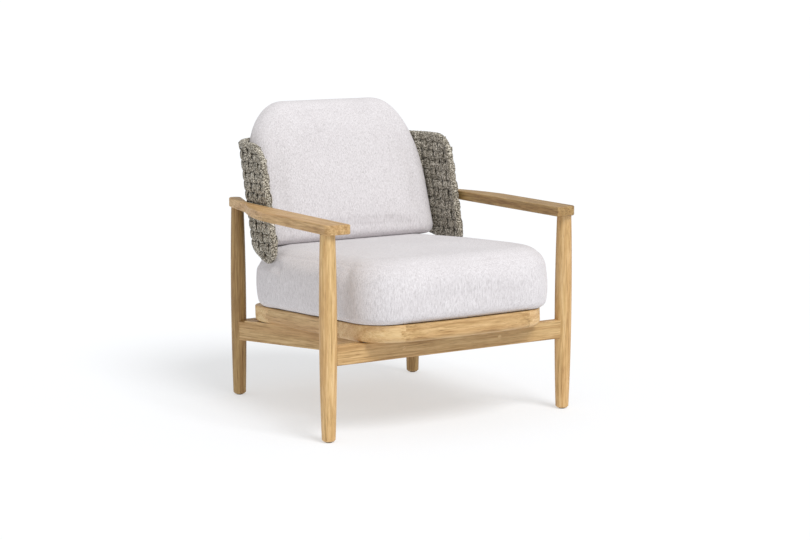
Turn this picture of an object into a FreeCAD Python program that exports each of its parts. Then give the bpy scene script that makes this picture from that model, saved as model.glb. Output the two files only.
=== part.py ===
import FreeCAD, Part

import math
import os

import Sketcher
from FreeCAD import Placement, Rotation, Vector

# Lounge armchair: a teak frame with two flat armrests, a rounded seat ring on three rails, a woven
# shell round the back and two loose cushions.  Millimetres, +Z up, front of the chair towards -Y.
# The origin is on the floor, under the middle of the chair.  Right means +X.

DRIVING = {
    # legs, axis positions and turned radii
    "front_leg_x": 381, "front_leg_y": -301, "rear_leg_x": 299, "rear_leg_y": 351,
    "leg_top": 550, "leg_bottom": 3, "leg_swell_level": 250, "leg_foot_edge": 4,
    "front_foot_radius": 18.3, "front_swell_radius": 23.5, "front_top_radius": 20,
    "rear_foot_radius": 18.3, "rear_swell_radius": 22, "rear_top_radius": 18,
    "glide_radius": 9, "glide_stem_radius": 4, "glide_stem_length": 14, "wood_gap": 0.15,
    # armrests
    "arm_thickness": 26, "arm_front": -335, "arm_inner_x": 333, "arm_outer_x": 401, "arm_straight_end": 15,
    "arm_shoulder_x": 384, "arm_cove_x": 350, "arm_cove_y": 210, "arm_waist_x": 330, "arm_waist_y": 226,
    "arm_tail_end": 371, "arm_tail_outer": 319, "arm_tail_inner": 279,
    "arm_corner_radius": 22, "arm_waist_radius": 120,
    "arm_tail_radius": 17, "arm_edge_bevel": 2, "dowel_radius": 6, "dowel_up": 16, "dowel_down": 34,
    # rails
    "rail_height": 52, "rail_thickness": 28, "front_rail_bottom": 203, "rear_rail_bottom": 166,
    "rail_edge_radius": 3, "tenon_height": 32, "tenon_thickness": 12, "tenon_depth": 13,
    "side_rail_front_x": 160, "side_rail_saddle": 6, "side_rail_neck": 44, "side_rail_dowel_radius": 5,
    "side_rail_dowel_length": 40, "side_rail_dowel_depth": 12,
    "plug_radius": 5.5, "plug_depth": 6, "bolt_head_radius": 5, "bolt_head_height": 5, "bolt_radius": 3,
    "bolt_length": 58, "bolt_tip": 3, "nut_radius": 5, "nut_length": 22, "bolt_offset": 5, "hole_gap": 0.2,
    # seat ring, in its own plane, which falls towards the back
    "seat_tilt": 3, "ring_front": -405, "ring_top": 308.7, "ring_height": 47, "ring_width": 42,
    "ring_half": 293, "ring_length": 727, "ring_bow": 23, "ring_front_radius": 130,
    "ring_rear_radius": 79, "ring_under_radius": 14, "ring_edge_radius": 3,
    "joint_front_x": 205, "joint_rear_x": 195, "joint_front_y": 205, "joint_rear_y": 600, "finger_depth": 12,
    "slat_count": 7, "slat_thickness": 12, "slat_width": 50, "slat_seat": 15,
    "slat_first": 160, "slat_pitch": 75,
    "slat_gap": 0.3, "screw_radius": 2, "screw_head_radius": 4, "screw_length": 26,
    "ring_screw_radius": 3, "ring_screw_length": 42, "ring_screw_inset": 24, "ring_screw_rear_y": 222.6,
    "ring_screw_front_level": 229, "ring_screw_rear_level": 198, "ring_hole_below": 60,
    "ring_hole_length": 103,
    # woven shell and its metal frame, in a frame that leans back
    "shell_lean": 14.5, "shell_front_y": 89, "shell_low": 410, "shell_half": 321, "shell_depth": 225,
    "shell_wall": 20, "shell_radius": 140, "shell_top": 743, "shell_back_low": 447, "shell_lobe_end": 150,
    "shell_rise_end": 262, "shell_top_corner": 80, "shell_low_corner": 45,
    "tube_radius": 6, "rib_radius": 6.8, "tube_low": 120, "tube_high": 285, "tube_gap": 0.4,
    "rib_inset": 16, "rib_low": 60, "rib_high": 295,
    "post_x": 150, "post_y": 329.5, "post_radius": 7, "post_bottom": 228,
    "post_bolt_low": 236, "post_bolt_high": 256, "post_bolt_length": 44, "post_hole_length": 60,
    # cushions
    "cushion_gap": 0.6, "seat_pad_half": 298, "seat_pad_front": -3, "seat_pad_length": 715,
    "seat_pad_thickness": 166, "seat_pad_front_radius": 130, "seat_pad_rear_radius": 112,
    "seat_pad_edge": 40, "cover_thickness": 4, "foam_gap": 0.5,
    "back_pad_half": 286, "back_pad_thickness": 140, "back_pad_top": 852,
    "back_pad_corner": 185, "back_pad_back_edge": 100, "back_pad_edge": 38, "back_pad_gap": 3,
    "zipper_length": 300, "zipper_width": 8, "zipper_depth": 2,
}


class Size:
    """A length with its value and the sheet expression that gives it."""

    def __init__(self, value, text):
        self.value = value
        self.text = text

    def joined(self, other, sign, value):
        return Size(value, f"({self.text} {sign} {as_size(other).text})")

    def __add__(self, other):
        return self.joined(other, "+", self.value + as_size(other).value)

    def __sub__(self, other):
        return self.joined(other, "-", self.value - as_size(other).value)

    def __mul__(self, other):
        return self.joined(other, "*", self.value * as_size(other).value)

    def __truediv__(self, other):
        return self.joined(other, "/", self.value / as_size(other).value)

    def __neg__(self):
        return Size(-self.value, f"(0 - {self.text})")


def as_size(value):
    if isinstance(value, Size):
        return value
    return Size(float(value), f"({float(value)!r})")


def cosine(angle):
    return Size(math.cos(math.radians(angle.value)), f"cos({angle.text} * 1 deg)")


def sine(angle):
    return Size(math.sin(math.radians(angle.value)), f"sin({angle.text} * 1 deg)")


doc = FreeCAD.newDocument("Armchair")
sheet = doc.addObject("Spreadsheet::Sheet", "Dims")
for row, (alias, number) in enumerate(DRIVING.items(), start=1):
    sheet.set(f"A{row}", alias)
    sheet.set(f"B{row}", str(number))
    sheet.setAlias(f"B{row}", alias)
doc.recompute()

S = {alias: Size(float(number), f"Dims.{alias}") for alias, number in DRIVING.items()}
nodes = []


# ---------------------------------------------------------------- helpers

def keep(obj, label):
    """Names a finished sub-part."""
    obj.Label = label
    nodes.append(obj)
    return obj


def bind(obj, **sizes):
    for prop, size in sizes.items():
        obj.setExpression(prop, as_size(size).text)
    return obj


def place(obj, x=0, y=0, z=0, rotation=None):
    """Sets the turn first, then ties the position to the sheet."""
    spot = [as_size(value) for value in (x, y, z)]
    obj.Placement = Placement(Vector(*[size.value for size in spot]), rotation or Rotation())
    for axis, size in zip("xyz", spot):
        obj.setExpression(f"Placement.Base.{axis}", size.text)
    return obj


def box(name, length, width, height, x=0, y=0, z=0, rotation=None):
    item = bind(doc.addObject("Part::Box", name), Length=length, Width=width, Height=height)
    return place(item, x, y, z, rotation)


ALONG_Y = Rotation(Vector(1, 0, 0), -90)


def rod(name, radius, height, x=0, y=0, z=0, rotation=None):
    item = bind(doc.addObject("Part::Cylinder", name), Radius=radius, Height=height)
    return place(item, x, y, z, rotation)


def joined(name, items):
    if len(items) == 1:
        return items[0]
    fuse = doc.addObject("Part::MultiFuse", name)
    fuse.Shapes = items
    return fuse


def carved(name, base, tools):
    """The base with every tool taken away."""
    cut = doc.addObject("Part::Cut", name)
    cut.Base = base
    cut.Tool = joined(name + "_tools", tools)
    return cut


def shared(name, base, tool):
    common = doc.addObject("Part::Common", name)
    common.Base = base
    common.Tool = tool
    return common


def mirrored(source, label):
    """The left-hand twin of a right-hand piece."""
    twin = doc.addObject("Part::Mirroring", label)
    twin.Source = source
    twin.Normal = Vector(1, 0, 0)
    return keep(twin, label)


def group(label, shapes):
    """Equal separate solids that share one node."""
    item = doc.addObject("Part::Feature", label)
    item.Shape = Part.makeCompound(shapes)
    return keep(item, label)


def new_body(name):
    return doc.addObject("PartDesign::Body", name)


def new_sketch(body, name, role, outline):
    """A closed outline on one of the body's own planes.

    Each entry is a corner (x, y), or (x, y, (bulge_x, bulge_y)) where the side that starts at the
    corner is an arc through the bulge point.
    """
    sketch = body.newObject("Sketcher::SketchObject", name)
    plane = next(item for item in body.Origin.OriginFeatures if item.Role == role)
    sketch.AttachmentSupport = [(plane, "")]
    sketch.MapMode = "FlatFace"
    corners = [(as_size(entry[0]), as_size(entry[1])) for entry in outline]
    spots = [Vector(x.value, y.value, 0) for x, y in corners]
    sides = []
    for index, entry in enumerate(outline):
        start, end = spots[index], spots[(index + 1) % len(spots)]
        if len(entry) == 3:
            bulge = [as_size(value) for value in entry[2]]
            middle = Vector(bulge[0].value, bulge[1].value, 0)
            arc = Part.Arc(start, middle, end)
            turned = (middle - start).cross(end - middle).z > 0
            side = sketch.addGeometry(arc, False)
            mark = sketch.addGeometry(Part.Point(middle), True)
            sketch.addConstraint(Sketcher.Constraint("PointOnObject", mark, 1, side))
            fix_point(sketch, mark, 1, bulge[0], bulge[1], f"{name}_bulge{index}")
            sides.append((side, 1 if turned else 2, 2 if turned else 1))
        else:
            sides.append((sketch.addGeometry(Part.LineSegment(start, end), False), 1, 2))
    for index, (side, first, _last) in enumerate(sides):
        before, _first, last = sides[index - 1]
        sketch.addConstraint(Sketcher.Constraint("Coincident", before, last, side, first))
        fix_point(sketch, side, first, corners[index][0], corners[index][1], f"{name}_corner{index}")
    return sketch


def fix_point(sketch, side, end, x, y, name):
    for kind, size, suffix in (("DistanceX", x, "x"), ("DistanceY", y, "y")):
        number = sketch.addConstraint(Sketcher.Constraint(kind, -1, 1, side, end, size.value))
        sketch.renameConstraint(number, name + suffix)
        sketch.setExpression(f"Constraints.{name}{suffix}", size.text)


def pad(body, sketch, length, midplane=False, backwards=False):
    feature = body.newObject("PartDesign::Pad", sketch.Name + "_pad")
    feature.Profile = sketch
    bind(feature, Length=length)
    feature.Midplane = midplane
    feature.Reversed = backwards
    doc.recompute()
    return feature


def pocket(body, sketch, length=None, midplane=False, backwards=False):
    """Cuts, and checks that the cut really took something away."""
    before = body.Shape.Volume
    feature = body.newObject("PartDesign::Pocket", sketch.Name + "_pocket")
    feature.Profile = sketch
    feature.Midplane = midplane
    feature.Reversed = backwards
    if length is None:
        feature.Type = "ThroughAll"
    else:
        bind(feature, Length=length)
    doc.recompute()
    if not body.Shape.Volume < before - 1:
        raise RuntimeError(f"{feature.Name} cut nothing")
    return feature


def rounded(body, name, radius, wanted, kind="Fillet"):
    """Rounds, or with kind Chamfer bevels, the edges for which wanted(edge) is true."""
    base = body.Tip
    names = [f"Edge{number}" for number, edge in enumerate(base.Shape.Edges, start=1) if wanted(edge)]
    if not names:
        raise RuntimeError(f"{name} has no edges")
    feature = body.newObject(f"PartDesign::{kind}", name)
    feature.Base = (base, names)
    bind(feature, **{"Radius" if kind == "Fillet" else "Size": radius})
    doc.recompute()
    if "Invalid" in feature.State or "Error" in feature.State:
        raise RuntimeError(f"{name} failed")
    return feature


def upright(edge):
    ends = [vertex.Point for vertex in edge.Vertexes]
    if len(ends) != 2:
        return False
    run = ends[1] - ends[0]
    return abs(run.z) > 1 and math.hypot(run.x, run.y) < 0.01


def level(z):
    """Edges that lie wholly at one height."""
    def test(edge):
        return all(abs(point.z - z) < 0.01 for point in edge.discretize(5))
    return test


# ---------------------------------------------------------------- legs, glides and armrests

def leg(name, x, y, foot, swell, top):
    """A round leg turned in one long curve, with a softened foot and a socket for its glide."""
    body = new_body(name + "_turned")
    outline = [(0, S["leg_bottom"]), (foot - S["leg_foot_edge"], S["leg_bottom"]),
               (foot, S["leg_bottom"] + S["leg_foot_edge"], (swell, S["leg_swell_level"])),
               (top, S["leg_top"]), (0, S["leg_top"])]
    sketch = new_sketch(body, name + "_profile", "XZ_Plane", outline)
    turn = body.newObject("PartDesign::Revolution", name + "_turn")
    turn.Profile = sketch
    turn.ReferenceAxis = (sketch, ["V_Axis"])
    turn.Angle = 360
    doc.recompute()
    place(body, x, y, 0)
    return body


def leg_sockets(name, x, y):
    """Room for the glide's stem and for the dowel into the armrest."""
    return [rod(name + "_stem_hole", S["glide_stem_radius"] + S["wood_gap"],
                S["glide_stem_length"] + S["leg_bottom"], x, y, 0),
            rod(name + "_dowel_hole", S["dowel_radius"] + S["wood_gap"], S["dowel_down"] + S["wood_gap"],
                x, y, S["leg_top"] - S["dowel_down"])]


front_rail_middle = S["front_rail_bottom"] + S["rail_height"] / 2
rear_rail_middle = S["rear_rail_bottom"] + S["rail_height"] / 2
mortise_depth = S["tenon_depth"] + S["wood_gap"]
mortise_height = S["tenon_height"] + S["wood_gap"] * 2
mortise_width = S["tenon_thickness"] + S["wood_gap"] * 2

rail_yaw = Size(math.degrees(math.atan2(DRIVING["rear_leg_x"] - DRIVING["side_rail_front_x"],
                                        DRIVING["rear_leg_y"] - DRIVING["front_leg_y"]
                                        - DRIVING["rail_thickness"] / 2)),
                "atan2(Dims.rear_leg_x - Dims.side_rail_front_x;"
                " Dims.rear_leg_y - Dims.front_leg_y - Dims.rail_thickness / 2) / 1 deg")
rail_turn = Rotation(Vector(0, 0, 1), -rail_yaw.value).multiply(
    Rotation(Vector(1, 0, 0), -DRIVING["seat_tilt"]))

front_leg = leg("front_leg", S["front_leg_x"], S["front_leg_y"],
                S["front_foot_radius"], S["front_swell_radius"], S["front_top_radius"])
front_mortise = box("front_mortise", mortise_depth + S["front_swell_radius"], mortise_width, mortise_height,
                    S["front_leg_x"] - S["front_swell_radius"] * 2, S["front_leg_y"] - mortise_width / 2,
                    front_rail_middle - mortise_height / 2)
keep(carved("front_leg_right", front_leg,
            leg_sockets("front", S["front_leg_x"], S["front_leg_y"]) + [front_mortise]), "front_leg_right")
mirrored(nodes[-1], "front_leg_left")

rear_leg = leg("rear_leg", S["rear_leg_x"], S["rear_leg_y"],
               S["rear_foot_radius"], S["rear_swell_radius"], S["rear_top_radius"])
rear_mortise = box("rear_mortise", mortise_depth + S["rear_swell_radius"], mortise_width, mortise_height,
                   S["rear_leg_x"] - S["rear_swell_radius"] * 2, S["rear_leg_y"] - mortise_width / 2,
                   rear_rail_middle - mortise_height / 2)
leg_to_peg = S["rear_swell_radius"] - S["side_rail_dowel_depth"]
peg_x = S["rear_leg_x"] - leg_to_peg * sine(rail_yaw)
peg_y = S["rear_leg_y"] - leg_to_peg * cosine(rail_yaw)
peg_z = rear_rail_middle - S["side_rail_saddle"] / 2
towards_rail = rail_turn.multiply(Rotation(Vector(1, 0, 0), 90))


def peg_room(name):
    """The hole for the dowel that joins the side rail to the rear leg."""
    return rod(name, S["side_rail_dowel_radius"] + S["wood_gap"],
               S["side_rail_dowel_length"] + S["wood_gap"] * 4, peg_x, peg_y + S["wood_gap"] * 2, peg_z,
               towards_rail)


keep(carved("rear_leg_right", rear_leg,
            leg_sockets("rear", S["rear_leg_x"], S["rear_leg_y"])
            + [rear_mortise, peg_room("rear_peg_hole")]),
     "rear_leg_right")
mirrored(nodes[-1], "rear_leg_left")

for label, x, y in (("front_right", S["front_leg_x"], S["front_leg_y"]),
                    ("rear_right", S["rear_leg_x"], S["rear_leg_y"])):
    disc = rod(f"disc_{label}", S["glide_radius"], S["leg_bottom"], x, y, 0)
    stem = rod(f"stem_{label}", S["glide_stem_radius"], S["glide_stem_length"], x, y, 0)
    keep(joined(f"glide_{label}", [disc, stem]), f"foot_glide_{label}")
    mirrored(nodes[-1], f"foot_glide_{label.replace('right', 'left')}")

arm = new_body("arm_board")
arm_outline = [(S["arm_inner_x"], S["arm_front"]), (S["arm_outer_x"], S["arm_front"]),
               (S["arm_outer_x"], S["arm_straight_end"],
                (S["arm_shoulder_x"], (S["arm_straight_end"] + S["arm_cove_y"]) / 2)),
               (S["arm_cove_x"], S["arm_cove_y"]),
               (S["arm_tail_outer"], S["arm_tail_end"]), (S["arm_tail_inner"], S["arm_tail_end"]),
               (S["arm_waist_x"], S["arm_waist_y"])]
pad(arm, new_sketch(arm, "arm_plan", "XY_Plane", arm_outline), S["arm_thickness"])


def upright_at(x, y):
    """The upright edge nearest a corner of an outline."""
    def test(edge):
        return upright(edge) and math.hypot(edge.Vertexes[0].X - x.value, edge.Vertexes[0].Y - y.value) < 1
    return test


rounded(arm, "arm_waist", S["arm_waist_radius"], upright_at(S["arm_waist_x"], S["arm_waist_y"]))
rounded(arm, "arm_corner", S["arm_corner_radius"], upright_at(S["arm_outer_x"], S["arm_front"]))
rounded(arm, "arm_tail", S["arm_tail_radius"],
        lambda edge: upright(edge) and edge.Vertexes[0].Y > DRIVING["arm_tail_end"] - 1)
rounded(arm, "arm_edges", S["arm_edge_bevel"],
        lambda edge: level(0)(edge) or level(DRIVING["arm_thickness"])(edge), "Chamfer")
place(arm, 0, 0, S["leg_top"])
arm_holes = [rod(f"{name}_arm_hole", S["dowel_radius"] + S["wood_gap"], S["dowel_up"] + S["wood_gap"], x, y,
                 S["leg_top"])
             for name, x, y in (("front", S["front_leg_x"], S["front_leg_y"]),
                                ("rear", S["rear_leg_x"], S["rear_leg_y"]))]
keep(carved("armrest_right", arm, arm_holes), "armrest_right")
mirrored(nodes[-1], "armrest_left")


def solid_rod(radius, length, spot, direction):
    return Part.makeCylinder(radius, length, spot, direction)


UP = Vector(0, 0, 1)
RIGHT = Vector(1, 0, 0)
BACK = Vector(0, 1, 0)
V = DRIVING
group("arm_dowels", [solid_rod(V["dowel_radius"], V["dowel_up"] + V["dowel_down"] - 2 * V["wood_gap"],
                               Vector(side * x, y, V["leg_top"] - V["dowel_down"] + V["wood_gap"]), UP)
                     for side in (-1, 1)
                     for x, y in ((V["front_leg_x"], V["front_leg_y"]),
                                  (V["rear_leg_x"], V["rear_leg_y"]))])


# ---------------------------------------------------------------- rails

def cross_rail(name, leg_x, leg_y, bottom, middle, swell):
    """A straight rail between two legs, coped to them, with a tenon at each end."""
    board = box(name + "_board", leg_x * 2, S["rail_thickness"], S["rail_height"],
                -leg_x, leg_y - S["rail_thickness"] / 2, bottom)
    soft = doc.addObject("Part::Fillet", name + "_softened")
    soft.Base = board
    doc.recompute()
    radius = V["rail_edge_radius"]
    soft.Edges = [(number, radius, radius) for number, edge in enumerate(board.Shape.Edges, start=1)
                  if edge.Length > leg_x.value]
    copes = [rod(f"{name}_cope_{side}", swell + S["wood_gap"], S["rail_height"] * 2, leg_x * side, leg_y,
                 bottom - S["rail_height"] / 2) for side in (-1, 1)]
    tenon = box(name + "_tenons", (leg_x - swell + S["tenon_depth"]) * 2, S["tenon_thickness"],
                S["tenon_height"], -(leg_x - swell + S["tenon_depth"]), leg_y - S["tenon_thickness"] / 2,
                middle - S["tenon_height"] / 2)
    return joined(name + "_whole", [carved(name + "_coped", soft, copes), tenon])


bolt_x = S["side_rail_front_x"] - S["bolt_offset"]
rail_face = S["front_leg_y"] - S["rail_thickness"] / 2
ring_screw_spots = ((V["ring_half"] - V["ring_width"] / 2, V["front_leg_y"], V["ring_screw_front_level"]),
                    (V["ring_half"] - V["ring_screw_inset"], V["ring_screw_rear_y"],
                     V["ring_screw_rear_level"]))

front_rail_holes = []
for side in (-1, 1):
    front_rail_holes += [
        rod(f"plug_hole_{side + 1}", S["plug_radius"] + S["wood_gap"] / 3,
            S["plug_depth"] + S["bolt_head_height"], bolt_x * side, rail_face, front_rail_middle, ALONG_Y),
        rod(f"bolt_hole_{side + 1}", S["bolt_radius"] + S["hole_gap"], S["rail_thickness"], bolt_x * side,
            rail_face, front_rail_middle, ALONG_Y)]
screw_clear = V["ring_screw_radius"] + V["hole_gap"]
screw_tools = doc.addObject("Part::Feature", "ring_screw_holes")
screw_tools.Shape = Part.makeCompound([solid_rod(screw_clear, V["ring_hole_length"],
                                                 Vector(side * x, y, z - V["ring_hole_below"]), UP)
                                       for side in (-1, 1) for x, y, z in ring_screw_spots])
front_rail_raw = cross_rail("front_rail", S["front_leg_x"], S["front_leg_y"], S["front_rail_bottom"],
                            front_rail_middle, S["front_swell_radius"])
keep(carved("front_rail", front_rail_raw, front_rail_holes + [screw_tools]), "front_rail")
keep(cross_rail("rear_rail", S["rear_leg_x"], S["rear_leg_y"], S["rear_rail_bottom"], rear_rail_middle,
                S["rear_swell_radius"]), "rear_rail")

rail_rise = sine(S["seat_tilt"]) / cosine(S["seat_tilt"])
rail_back_face = S["front_leg_y"] + S["rail_thickness"] / 2
rail_run = S["rear_leg_y"] - rail_back_face
ring_low_at_rail = (S["ring_top"] - S["ring_height"] / cosine(S["seat_tilt"])
                    - (rail_back_face - S["ring_front"]) * rail_rise)
rail_drop = S["rail_height"] + S["side_rail_saddle"]
rail_sideways = S["rail_thickness"] / 2
rail_spare = S["rail_thickness"]
board_length = rail_run + S["rail_thickness"] * 4
side_board = box("side_board", S["rail_thickness"], board_length, rail_drop * cosine(S["seat_tilt"]),
                 S["side_rail_front_x"] - rail_sideways * cosine(rail_yaw) - rail_spare * sine(rail_yaw),
                 rail_back_face + rail_sideways * sine(rail_yaw) - rail_spare * cosine(rail_yaw),
                 ring_low_at_rail - rail_drop + rail_spare * rail_rise, rail_turn)
neck_start = S["rear_leg_y"] - S["side_rail_neck"]
side_tools = [
    box("side_front_trim", S["side_rail_front_x"] * 2, S["rail_thickness"] * 4, S["leg_top"] / 2, 0,
        rail_back_face - S["rail_thickness"] * 4, S["leg_bottom"]),
    rod("side_cope", S["rear_swell_radius"] + S["wood_gap"] * 2, S["leg_top"],
        S["rear_leg_x"], S["rear_leg_y"], 0),
    box("side_rear_trim", S["rear_leg_x"] * 2, S["rail_thickness"] * 8, S["leg_top"] / 2,
        0, S["rear_leg_y"] - S["rail_thickness"] / 2 - S["wood_gap"], S["leg_bottom"]),
    box("side_neck", S["rear_leg_x"], S["rail_thickness"] * 4, S["side_rail_saddle"] * 8,
        S["rear_leg_x"] / 2, neck_start, S["rear_rail_bottom"] + S["rail_height"]),
    peg_room("side_peg_hole"),
    rod("side_bolt_hole", S["bolt_radius"] + S["hole_gap"], S["bolt_length"] + S["bolt_tip"] * 1.5,
        bolt_x, rail_face, front_rail_middle, ALONG_Y),
    rod("side_nut_hole", S["nut_radius"] + S["wood_gap"], S["nut_length"] + S["wood_gap"] * 2, bolt_x,
        rail_face + S["bolt_length"], front_rail_middle - S["nut_length"] / 2 - S["wood_gap"]),
    screw_tools,
]
keep(carved("side_rail_right", side_board, side_tools), "side_rail_right")
mirrored(nodes[-1], "side_rail_left")


def rail_dowel(side):
    """A dowel from the rear leg into the end of one side rail."""
    along = rail_turn.multVec(Vector(0, -1, 0))
    return solid_rod(V["side_rail_dowel_radius"], V["side_rail_dowel_length"],
                     Vector(side * peg_x.value, peg_y.value, peg_z.value),
                     Vector(side * along.x, along.y, along.z))


group("side_rail_dowels", [rail_dowel(side) for side in (-1, 1)])

rail_face_y = rail_face.value
rail_mid_z = front_rail_middle.value
group("rail_plugs", [solid_rod(V["plug_radius"], V["plug_depth"] - V["hole_gap"],
                               Vector(side * bolt_x.value, rail_face_y, rail_mid_z), BACK)
                     for side in (-1, 1)])


def bolt(side):
    """A cap screw: head in the counterbore, shank through the rail, tip in the barrel nut."""
    seat = Vector(side * bolt_x.value, rail_face_y + V["plug_depth"], rail_mid_z)
    head = solid_rod(V["bolt_head_radius"], V["bolt_head_height"], seat, BACK)
    reach = V["bolt_length"] - V["plug_depth"] - V["nut_radius"] + V["bolt_tip"]
    shank = solid_rod(V["bolt_radius"], reach, seat, BACK)
    return head.fuse(shank).removeSplitter()


def nut(side):
    """A barrel nut that stands upright in the side rail, bored for the bolt's tip."""
    foot = Vector(side * bolt_x.value, rail_face_y + V["bolt_length"], rail_mid_z - V["nut_length"] / 2)
    return solid_rod(V["nut_radius"], V["nut_length"], foot, UP).cut(bolt_room(side))


def bolt_room(side):
    """The bolt's bore, a little wider than its shank."""
    start = Vector(side * bolt_x.value, rail_face_y, rail_mid_z)
    return solid_rod(V["bolt_radius"] + V["wood_gap"], V["bolt_length"], start, BACK)


group("rail_bolts", [bolt(side) for side in (-1, 1)])
group("barrel_nuts", [nut(side) for side in (-1, 1)])
group("ring_screws", [solid_rod(V["ring_screw_radius"], V["ring_screw_length"], Vector(side * x, y, z), UP)
                      for side in (-1, 1) for x, y, z in ring_screw_spots])


# ---------------------------------------------------------------- seat ring and slats

SEAT_PLANE = Placement(Vector(0, V["ring_front"], V["ring_top"]), Rotation(Vector(-1, 0, 0), V["seat_tilt"]))


def on_seat(obj):
    """Lays a piece that is drawn in the seat plane on the chair."""
    obj.Placement = SEAT_PLANE
    obj.setExpression("Placement.Base.y", "Dims.ring_front")
    obj.setExpression("Placement.Base.z", "Dims.ring_top")
    obj.setExpression("Placement.Rotation.Angle", "Dims.seat_tilt")
    return obj


def ring_outline(inset):
    """The ring's outline, moved inwards: bowed front, straight sides and rear."""
    half = S["ring_half"] - inset
    return [(-half, S["ring_bow"] + inset, (0, inset)), (half, S["ring_bow"] + inset),
            (half, S["ring_length"] - inset), (-half, S["ring_length"] - inset)]


blank = new_body("ring_blank")
pad(blank, new_sketch(blank, "ring_outer", "XY_Plane", ring_outline(as_size(0))), S["ring_height"],
    backwards=True)
for name, radius, front in (("front", S["ring_front_radius"], True), ("rear", S["ring_rear_radius"], False)):
    middle = V["ring_length"] / 2
    rounded(blank, f"ring_{name}_corners", radius,
            lambda edge, front=front: upright(edge) and (edge.Vertexes[0].Y < middle) == front)
rounded(blank, "ring_under_edge", S["ring_under_radius"], level(-V["ring_height"]))
rounded(blank, "ring_top_edge", S["ring_edge_radius"], level(0))
pocket(blank, new_sketch(blank, "ring_inner", "XY_Plane", ring_outline(S["ring_width"])))
for name, radius, front in (("front", S["ring_front_radius"] - S["ring_width"], True),
                            ("rear", S["ring_rear_radius"] - S["ring_width"], False)):
    rounded(blank, f"ring_inner_{name}_corners", radius,
            lambda edge, front=front: upright(edge) and (edge.Vertexes[0].Y < middle) == front
            and abs(edge.Vertexes[0].X) < V["ring_half"] - V["ring_width"] + 0.01
            and V["ring_width"] - 1 < edge.Vertexes[0].Y < V["ring_length"] - V["ring_width"] + 1)
slat_reach = S["ring_half"] - S["ring_width"] + S["slat_seat"]
slat_zone_start = S["slat_first"] - S["slat_width"] / 2 - S["slat_gap"] * 3
slat_zone_end = (S["slat_first"] + S["slat_pitch"] * (V["slat_count"] - 1) + S["slat_width"] / 2
                 + S["slat_gap"] * 3)
pocket(blank, new_sketch(blank, "slat_rebate", "XY_Plane",
                         [(-slat_reach, slat_zone_start), (slat_reach, slat_zone_start),
                          (slat_reach, slat_zone_end), (-slat_reach, slat_zone_end)]), S["slat_thickness"])

slat_places = [V["slat_first"] + V["slat_pitch"] * index for index in range(V["slat_count"])]
slat_screw_x = slat_reach.value - V["slat_seat"] / 2
slat_screw_spots = [Vector(side * slat_screw_x, y, 0) for y in slat_places for side in (-1, 1)]
slat_screw_holes = doc.addObject("Part::Feature", "slat_screw_holes")
slat_hole = V["screw_radius"] + V["hole_gap"]
slat_screw_holes.Shape = Part.makeCompound(
    [solid_rod(slat_hole, V["screw_length"] + V["hole_gap"] * 5, spot, -UP) for spot in slat_screw_spots]
    + [solid_rod(V["screw_head_radius"] + V["hole_gap"], slat_hole, spot, -UP) for spot in slat_screw_spots])
ring_holes = doc.addObject("Part::Feature", "ring_holes")
ring_holes.Shape = screw_tools.Shape.transformed(SEAT_PLANE.inverse().toMatrix(), True)
post_hole_start = V["post_y"] - V["post_bolt_length"] - V["hole_gap"] * 5
post_hole_shapes = [solid_rod(V["bolt_radius"] + V["hole_gap"], V["post_hole_length"],
                              Vector(side * V["post_x"], post_hole_start, z), BACK)
                    for side in (-1, 1) for z in (V["post_bolt_low"], V["post_bolt_high"])]
post_holes = doc.addObject("Part::Feature", "post_holes")
post_holes.Shape = Part.makeCompound(post_hole_shapes).transformed(SEAT_PLANE.inverse().toMatrix(), True)
drilled = carved("ring_drilled", blank, [slat_screw_holes, ring_holes, post_holes])


def corner_cutter(name, side, x, y, front):
    """A block round one corner whose two faces step in and out as three fingers."""
    layers = []
    for level_number in range(3):
        step = S["finger_depth"] / 2 * (1 if level_number % 2 else -1)
        reach_x, reach_y = S["ring_half"] * 2, S["ring_length"]
        left = x + step if side > 0 else -x - step - reach_x
        low = y + step - reach_y if front else y + step
        layers.append(box(f"{name}_layer{level_number}", reach_x, reach_y, S["ring_height"] / 3, left, low,
                          -S["ring_height"] / 3 * (level_number + 1)))
    return joined(name, layers)


cutters = {}
for front, x, y in ((True, S["joint_front_x"], S["joint_front_y"]),
                    (False, S["joint_rear_x"], S["joint_rear_y"])):
    for side, hand in ((-1, "left"), (1, "right")):
        label = f"{'front' if front else 'rear'}_{hand}"
        cutters[label] = corner_cutter(f"cutter_{label}", side, x, y, front)
        keep(on_seat(shared(f"ring_corner_{label}", drilled, cutters[label])), f"ring_corner_{label}")

for hand, side in (("left", -1), ("right", 1)):
    strip_x = S["ring_half"] - S["ring_width"] * 1.5
    strip = box(f"side_strip_{hand}", S["ring_half"], S["ring_length"], S["ring_height"] * 2,
                strip_x if side > 0 else -strip_x - S["ring_half"], 0, -S["ring_height"] * 1.5)
    keep(on_seat(carved(f"ring_side_{hand}", shared(f"ring_strip_{hand}", drilled, strip),
                        [cutters[f"front_{hand}"], cutters[f"rear_{hand}"]])), f"ring_side_{hand}")
for end, low in (("front", -S["ring_width"]), ("rear", S["ring_length"] - S["ring_width"] * 2)):
    strip = box(f"{end}_strip", S["ring_half"] * 1.5, S["ring_width"] * 3, S["ring_height"] * 2,
                -S["ring_half"] * 0.75, low, -S["ring_height"] * 1.5)
    keep(on_seat(carved(f"ring_{end}", shared(f"ring_strip_{end}", drilled, strip),
                        [cutters[f"{end}_left"], cutters[f"{end}_right"]])), f"ring_{end}")

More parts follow.
